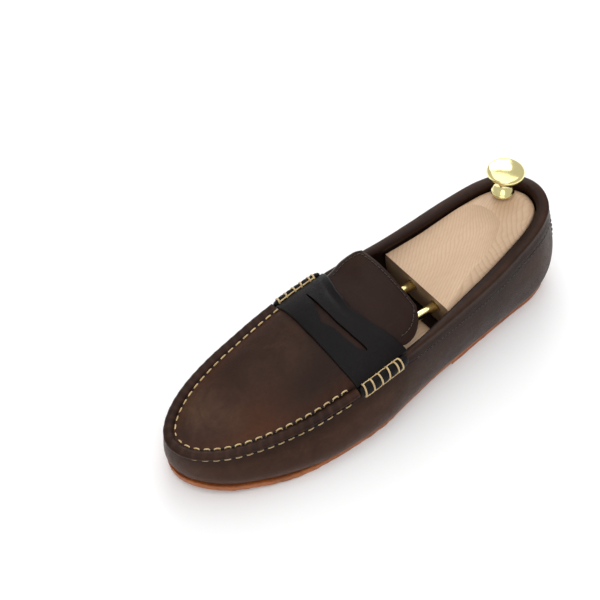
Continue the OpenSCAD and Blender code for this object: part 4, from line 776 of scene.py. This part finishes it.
def lathe(name, prof, origin, axis, mat, n=96, **kw):
    """prof: (r, h) pairs along axis; closed to the axis at both ends when r is 0."""
    axis = np.array(axis, float); axis /= np.linalg.norm(axis); ref = np.array([0, 0, 1.0]) if abs(axis[2]) < 0.9 else np.array([1.0, 0, 0])
    u = np.cross(axis, ref); u /= np.linalg.norm(u); w = np.cross(axis, u); a = np.linspace(0, 2*np.pi, n, endpoint=False)
    R = np.array([np.array(origin)+axis*h+(u*np.cos(a)[:, None]+w*np.sin(a)[:, None])*max(r, 1e-4) for r, h in prof])
    return loft(name, R, mat, **kw)
boolean(block, prism_y("front_cut", [[98.4, 0], [112.6, 52], [115, 62], [115, 90], [140, 90], [140, 0]], -80, 80))
# hollow in front of the flat rear: steep at its edge, which runs across and then slants towards the outer side
hx = np.concatenate([np.linspace(36, 46, 5), np.linspace(46.7, 60, 24), np.linspace(61.5, 124, 30)]); hy = np.concatenate([[-50], np.linspace(-34, 44, 110), [52]])
X, Y = np.meshgrid(hx, hy, indexing="ij"); dA = X-46.7; dB = 0.677*(X-46.7)-0.736*(Y-7.4)
dm = -np.logaddexp(-dA*3.0, -dB*3.0)/3.0
Zh = np.minimum(100, 61.2-0.18*(X-46.7)+5.4*np.exp(np.minimum(3, -dm/7)))
m_, n_ = X.shape; Vh = np.concatenate([np.stack([X, Y, Zh], -1).reshape(-1, 3), np.stack([X, Y, 0*X+120], -1).reshape(-1, 3)]); k_ = m_*n_
Fh = [(i*n_+j, i*n_+j+1, (i+1)*n_+j+1, (i+1)*n_+j) for i in range(m_-1) for j in range(n_-1)]
Fh += [(k_+i*n_+j, k_+(i+1)*n_+j, k_+(i+1)*n_+j+1, k_+i*n_+j+1) for i in range(m_-1) for j in range(n_-1)]
bd = [i*n_ for i in range(m_)] + [(m_-1)*n_+j for j in range(1, n_)] + [i*n_+n_-1 for i in range(m_-2, -1, -1)] + [j for j in range(n_-2, 0, -1)]
Fh += [(bd[i], bd[(i+1) % len(bd)], k_+bd[(i+1) % len(bd)], k_+bd[i]) for i in range(len(bd))]
hollow = make("hollow_cut", Vh, Fh, M["beech"], body=None, smooth=False)
boolean(block, hollow)
for y in (TY1, TY2):
    boolean(block, lathe("bore_cut", [[3.08, 0], [3.08, 48.0], [4.1, 48.0], [4.4, 90]], [50, y, TZ], [1, 0, 0], M["beech"], 64, body=None, smooth=False))
boolean(block, lathe("knob_cut", [[2.6, 0], [2.6, 60]], [31.5, -9, 46], [0, 0, 1], M["beech"], 48, body=None, smooth=False))
block.data.polygons.foreach_set("use_smooth", [True]*len(block.data.polygons)); mark_sharp(block.data, 26)
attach(block, "heel_block"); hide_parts("tree_heel_block")

KZ = 70.2
def smooth_profile(ctrl, n=7):
    c = np.array(ctrl, float); out = []
    for i in range(len(c)-1):
        p0, p1, p2, p3 = c[max(0, i-1)], c[i], c[i+1], c[min(len(c)-1, i+2)]
        for t in np.linspace(0, 1, n)[:-1]:
            out.append(0.5*(2*p1+(p2-p0)*t+(2*p0-5*p1+4*p2-p3)*t*t+(3*p1-p0-3*p2+p3)*t**3))
    out.append(c[-1]); return [list(p) for p in out]
stem = [[0, 48], [2.5, 48], [2.5, KZ-0.1], [7.1, KZ-0.1], [7.45, KZ+0.25], [7.45, KZ+1.3], [7.15, KZ+1.75]]
neck = smooth_profile([[6.9, KZ+2.1], [6.2, KZ+3.3], [4.7, KZ+5.1], [3.75, KZ+7.2], [3.6, KZ+9.2], [3.9, KZ+11], [5.4, KZ+12.8], [8.4, KZ+14.1], [10.8, KZ+15.1]])
rim = smooth_profile([[11.2, KZ+15.3], [11.85, KZ+16.0], [12.0, KZ+16.8], [11.75, KZ+17.8], [11.0, KZ+18.7], [9.6, KZ+19.4], [7.0, KZ+20.0], [3.8, KZ+20.45], [0, KZ+20.6]])
knob = lathe("tree_knob_brass", stem+neck+rim, [31.5, -9, 0], [0, 0, 1], M["brass"], 128, body="heel_block", slot="brass", rep=("tree_knob",)); mark_sharp(knob.data, 40)
for nm, y in (("tree_tube_inner", TY1), ("tree_tube_outer", TY2)):
    tb = lathe(nm+"_brass", [[2.5, 130], [2.5, 76], [2.75, 75.95], [3, 76.2], [3, 184.8], [2.8, 185]], [0, y, TZ], [1, 0, 0], M["brass"], 72, body="shoe", slot="brass", rep=(nm,), cap=True); mark_sharp(tb.data, 40)

TZH = [[124,43],[135,49],[150,53],[170,54.5],[190,52],[215,47],[240,42],[262,37.5],[276,33]]
TZL = [[124,25],[130,20],[150,17],[165,15],[205,14.2],[240,16.5],[276,24]]; TZS = [[124,35],[150,40],[170,39],[200,36],[230,33.5],[255,32],[276,30.5]]
SF = [[2,0],[5,1],[14,2],[30,3],[55,4],[85,5],[115,6],[140,7],[160,8],[180,9],[198,10],[215,11],[233,12],[251,13],[269,14],[283,15],[291.5,16]]
SN = [[2,33],[5,32],[14,31],[30,30],[55,29],[80,28],[105,27],[130,26],[152,25],[172,24],[192,23],[214,22],[235,21],[255.5,20],[274.5,19],[287,18],[292.5,17]]
def inner_y(x, z, side):
    s = lk(x, SF if side < 0 else SN); r = ring(s); v = max(0.12, min(0.97, (z-zt(r[0])-2.5)/(r[4]-zt(r[0])-2.5)))
    return wall(s, v, lin_d(s)+LIN+3)[1]
def toe_main(x):
    e = soft(x, [[153,0.72],[157,0.86],[164,0.97],[172,1],[255,1],[266,0.93],[273,0.8],[276,0.62]], 1.5); low = soft(x, [[153,5],[164,0]], 1.5)
    zl = soft(x, TZL, 6)+low; zs = soft(x, TZS, 6); zh = soft(x, TZH, 6)-low
    p = lambda z: 8+(inner_y(x, z, -1)-8)*e; g = min(SPLIT-2.6, 8+(inner_y(x, zs, 1)-8)*e, lk(x, [[153,15],[161,23]]))
    o = [[x, g, zl+(zh-2-zl)*t] for t in np.linspace(0, 1, 14)]
    o += [[x, g+(p(zs)-g)*t, zh-2*(1-t)**4-(zh-zs)*t**3] for t in np.linspace(0.03, 0.97, 34)]
    o += [[x, p(zs+(zl+3.5-zs)*t), zs+(zl+3.5-zs)*t] for t in np.linspace(0, 1, 14)]
    o += [[x, g+(p(zl+3.5)-g)*t, zl] for t in np.linspace(0.93, 0.07, 14)]
    return o
def toe_side(x):
    zl = soft(x, TZL, 5)+lk(x, [[118,3],[126,0],[236,0],[254,5]]); zs = soft(x, [[118,27],[126,30.4],[150,31.6],[170,38],[200,36],[230,33.5],[255,32]], 3)
    zh = soft(x, [[118,29.5],[120,32.6],[124,34.2],[150,34.4],[160,38],[172,44],[190,44],[215,39.5],[236,35.5],[254,34]], 1.2)
    if x < 152: zh = min(zh, 34.5)
    g = lk(x, [[118,19.5],[119.5,17.2],[122,16],[146,16],[153,SPLIT+2.6],[260,SPLIT+2.6]]); e = soft(x, [[118,0.62],[119.5,0.84],[122,0.95],[127,1],[236,1],[246,0.8],[254,0.4]], 0.8)
    p = lambda z: g+max(0.8, (inner_y(x, z, 1)-g)*e)
    o = [[x, g, zl+(zh-zl)*t] for t in np.linspace(0, 1, 14)]
    o += [[x, g+(p(zs)-g)*t, zh-(zh-zs)*t**2] for t in np.linspace(0.08, 0.94, 14)]
    o += [[x, p(zs+(zl+3.5-zs)*t), zs+(zl+3.5-zs)*t] for t in np.linspace(0, 1, 14)]
    o += [[x, g+(p(zl+3.5)-g)*t, zl] for t in np.linspace(0.9, 0.1, 8)]
    return o
R = round_corners(np.array([toe_main(x) for x in np.concatenate([[153, 153.4, 154, 155], np.linspace(156, 275, 110), [275.6, 276]])]), 2)
for i, f_ in ((0, 0.90), (1, 0.96), (2, 0.99), (-1, 0.9), (-2, 0.97)): c0 = R[i].mean(0); R[i] = c0+(R[i]-c0)*f_
toe_m = loft("tree_toe_main_wood", R, M["beech"], body=None)
R = round_corners(np.array([toe_side(x) for x in np.concatenate([[118, 118.4, 119], np.linspace(119.8, 253, 122), [253.6, 254]])]), 2)
for i, f_ in ((0, 0.8), (1, 0.93), (2, 0.98), (-1, 0.85), (-2, 0.95)): c0 = R[i].mean(0); R[i] = c0+(R[i]-c0)*f_
toe_s = loft("tree_toe_side_wood", R, M["beech"], body=None)
PZ = 25.0
for y in (TY1, TY2): boolean(toe_m, lathe("tube_cut", [[3.02, 0], [3.02, 86]], [100, y, TZ], [1, 0, 0], M["beech"], 64, body=None, smooth=False))
for x in (178, 228):
    boolean(toe_m, lathe("pin_cut", [[2.02, 0], [2.02, 30]], [x, SPLIT-19, PZ], [0, 1, 0], M["beech"], 40, body=None, smooth=False))
    boolean(toe_s, lathe("pin_cut", [[2.08, 0], [2.08, 13.5]], [x, SPLIT, PZ], [0, 1, 0], M["beech"], 40, body=None, smooth=False))
boolean(toe_m, lathe("spring_cut", [[3.2, 0], [3.2, 20]], [203, SPLIT-12, PZ], [0, 1, 0], M["beech"], 40, body=None, smooth=False))
boolean(toe_s, lathe("spring_cut", [[3.2, 0], [3.2, 7.5]], [203, SPLIT, PZ], [0, 1, 0], M["beech"], 40, body=None, smooth=False))
for o_, b_, n_ in ((toe_m, "shoe", "tree_toe_main"), (toe_s, "toe_side", "tree_toe_side")):
    o_.data.polygons.foreach_set("use_smooth", [True]*len(o_.data.polygons)); mark_sharp(o_.data, 35)
    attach(o_, b_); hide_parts(n_)

# hidden CAD parts keep their own meshes and get a fitting finish
for node, mat in {"cork_filler": "cork", "insole_board": "board", "heel_counter": "stiff", "toe_puff": "stiff", "plug_lining": "lining",
                  "tree_guide_pins": "brass", "tree_spring_inner": "steel", "tree_spring_outer": "steel", "tree_side_spring": "steel"}.items():
    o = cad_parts[node]
    for i in range(max(1, len(o.material_slots))):
        if o.material_slots: o.material_slots[i].material = M[mat]
        else: o.data.materials.append(M[mat])

# ------------------------------------------------------------------ floor, light, camera
fm, fnt, fb_ = mat_new("floor_white"); fg = G(fnt)
fnt.links.new(fg.mix(fg.map_range(fg.noise(3, 2), 0.3, 0.7, 0, 1), (0.975, 0.975, 0.975), (0.985, 0.985, 0.985)), fb_.inputs["Base Color"]); fb_.inputs["Roughness"].default_value = 0.9; fb_.inputs["Specular IOR Level"].default_value = 0.1
me = bpy.data.meshes.new("floor"); S_ = 2.6
me.from_pydata([(-S_, -S_, -0.0001), (S_, -S_, -0.0001), (S_, S_, -0.0001), (-S_, S_, -0.0001)], [], [(0, 1, 2, 3)]); me.materials.append(fm)
floor = bpy.data.objects.new("floor", me); bpy.context.scene.collection.objects.link(floor); floor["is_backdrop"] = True
w = bpy.data.worlds.new("studio"); bpy.context.scene.world = w; w.use_nodes = True
w.node_tree.nodes["Background"].inputs[0].default_value = (1, 1, 1, 1); w.node_tree.nodes["Background"].inputs[1].default_value = 0.55
def area(name, loc, target, size, power, size_y=None):
    l = bpy.data.lights.new(name, "AREA"); l.energy = power; l.shape = "RECTANGLE"; l.size = size; l.size_y = size_y or size
    o = bpy.data.objects.new(name, l); bpy.context.scene.collection.objects.link(o); o.location = loc
    d = Vector(target)-Vector(loc); o.rotation_euler = d.to_track_quat("-Z", "Y").to_euler(); return o
area("top_box", (0.1, 0.05, 1.5), (0, 0, 0), 2.2, 17)
area("far_box", (-0.8, -1.05, 0.8), (0, 0, 0.03), 0.9, 7)
area("near_box", (0.9, 1.0, 1.1), (0, 0, 0.03), 1.3, 5.5)

cam = bpy.data.cameras.new("camera"); cam.lens = 66.26; cam.sensor_width = 36.0; cam.sensor_fit = "HORIZONTAL"; cam.clip_start = 0.01; cam.clip_end = 20
co = bpy.data.objects.new("camera", cam); bpy.context.scene.collection.objects.link(co)
a_, e_, r_ = math.radians(144.915), math.radians(48.782), math.radians(-2.093)
back = Vector((math.sin(a_)*math.cos(e_), -math.cos(a_)*math.cos(e_), math.sin(e_))); right = Vector((math.cos(a_), math.sin(a_), 0)); up = back.cross(right)
cx = right*math.cos(r_)+up*math.sin(r_); cy = -right*math.sin(r_)+up*math.cos(r_)
co.matrix_world = Matrix(((cx[0], cy[0], back[0], 0.285524), (cx[1], cy[1], back[1], 0.332301), (cx[2], cy[2], back[2], 0.556087), (0, 0, 0, 1)))
bpy.context.scene.camera = co
bpy.context.scene.view_settings.view_transform = "Standard"; bpy.context.scene.view_settings.look = "None"; bpy.context.scene.view_settings.exposure = 0.0

vis_lo, vis_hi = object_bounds()
{"cad_box": [list(map(float, p)) for p in CAD_BOX], "visual_box": [list(map(float, vis_lo)), list(map(float, vis_hi))]}
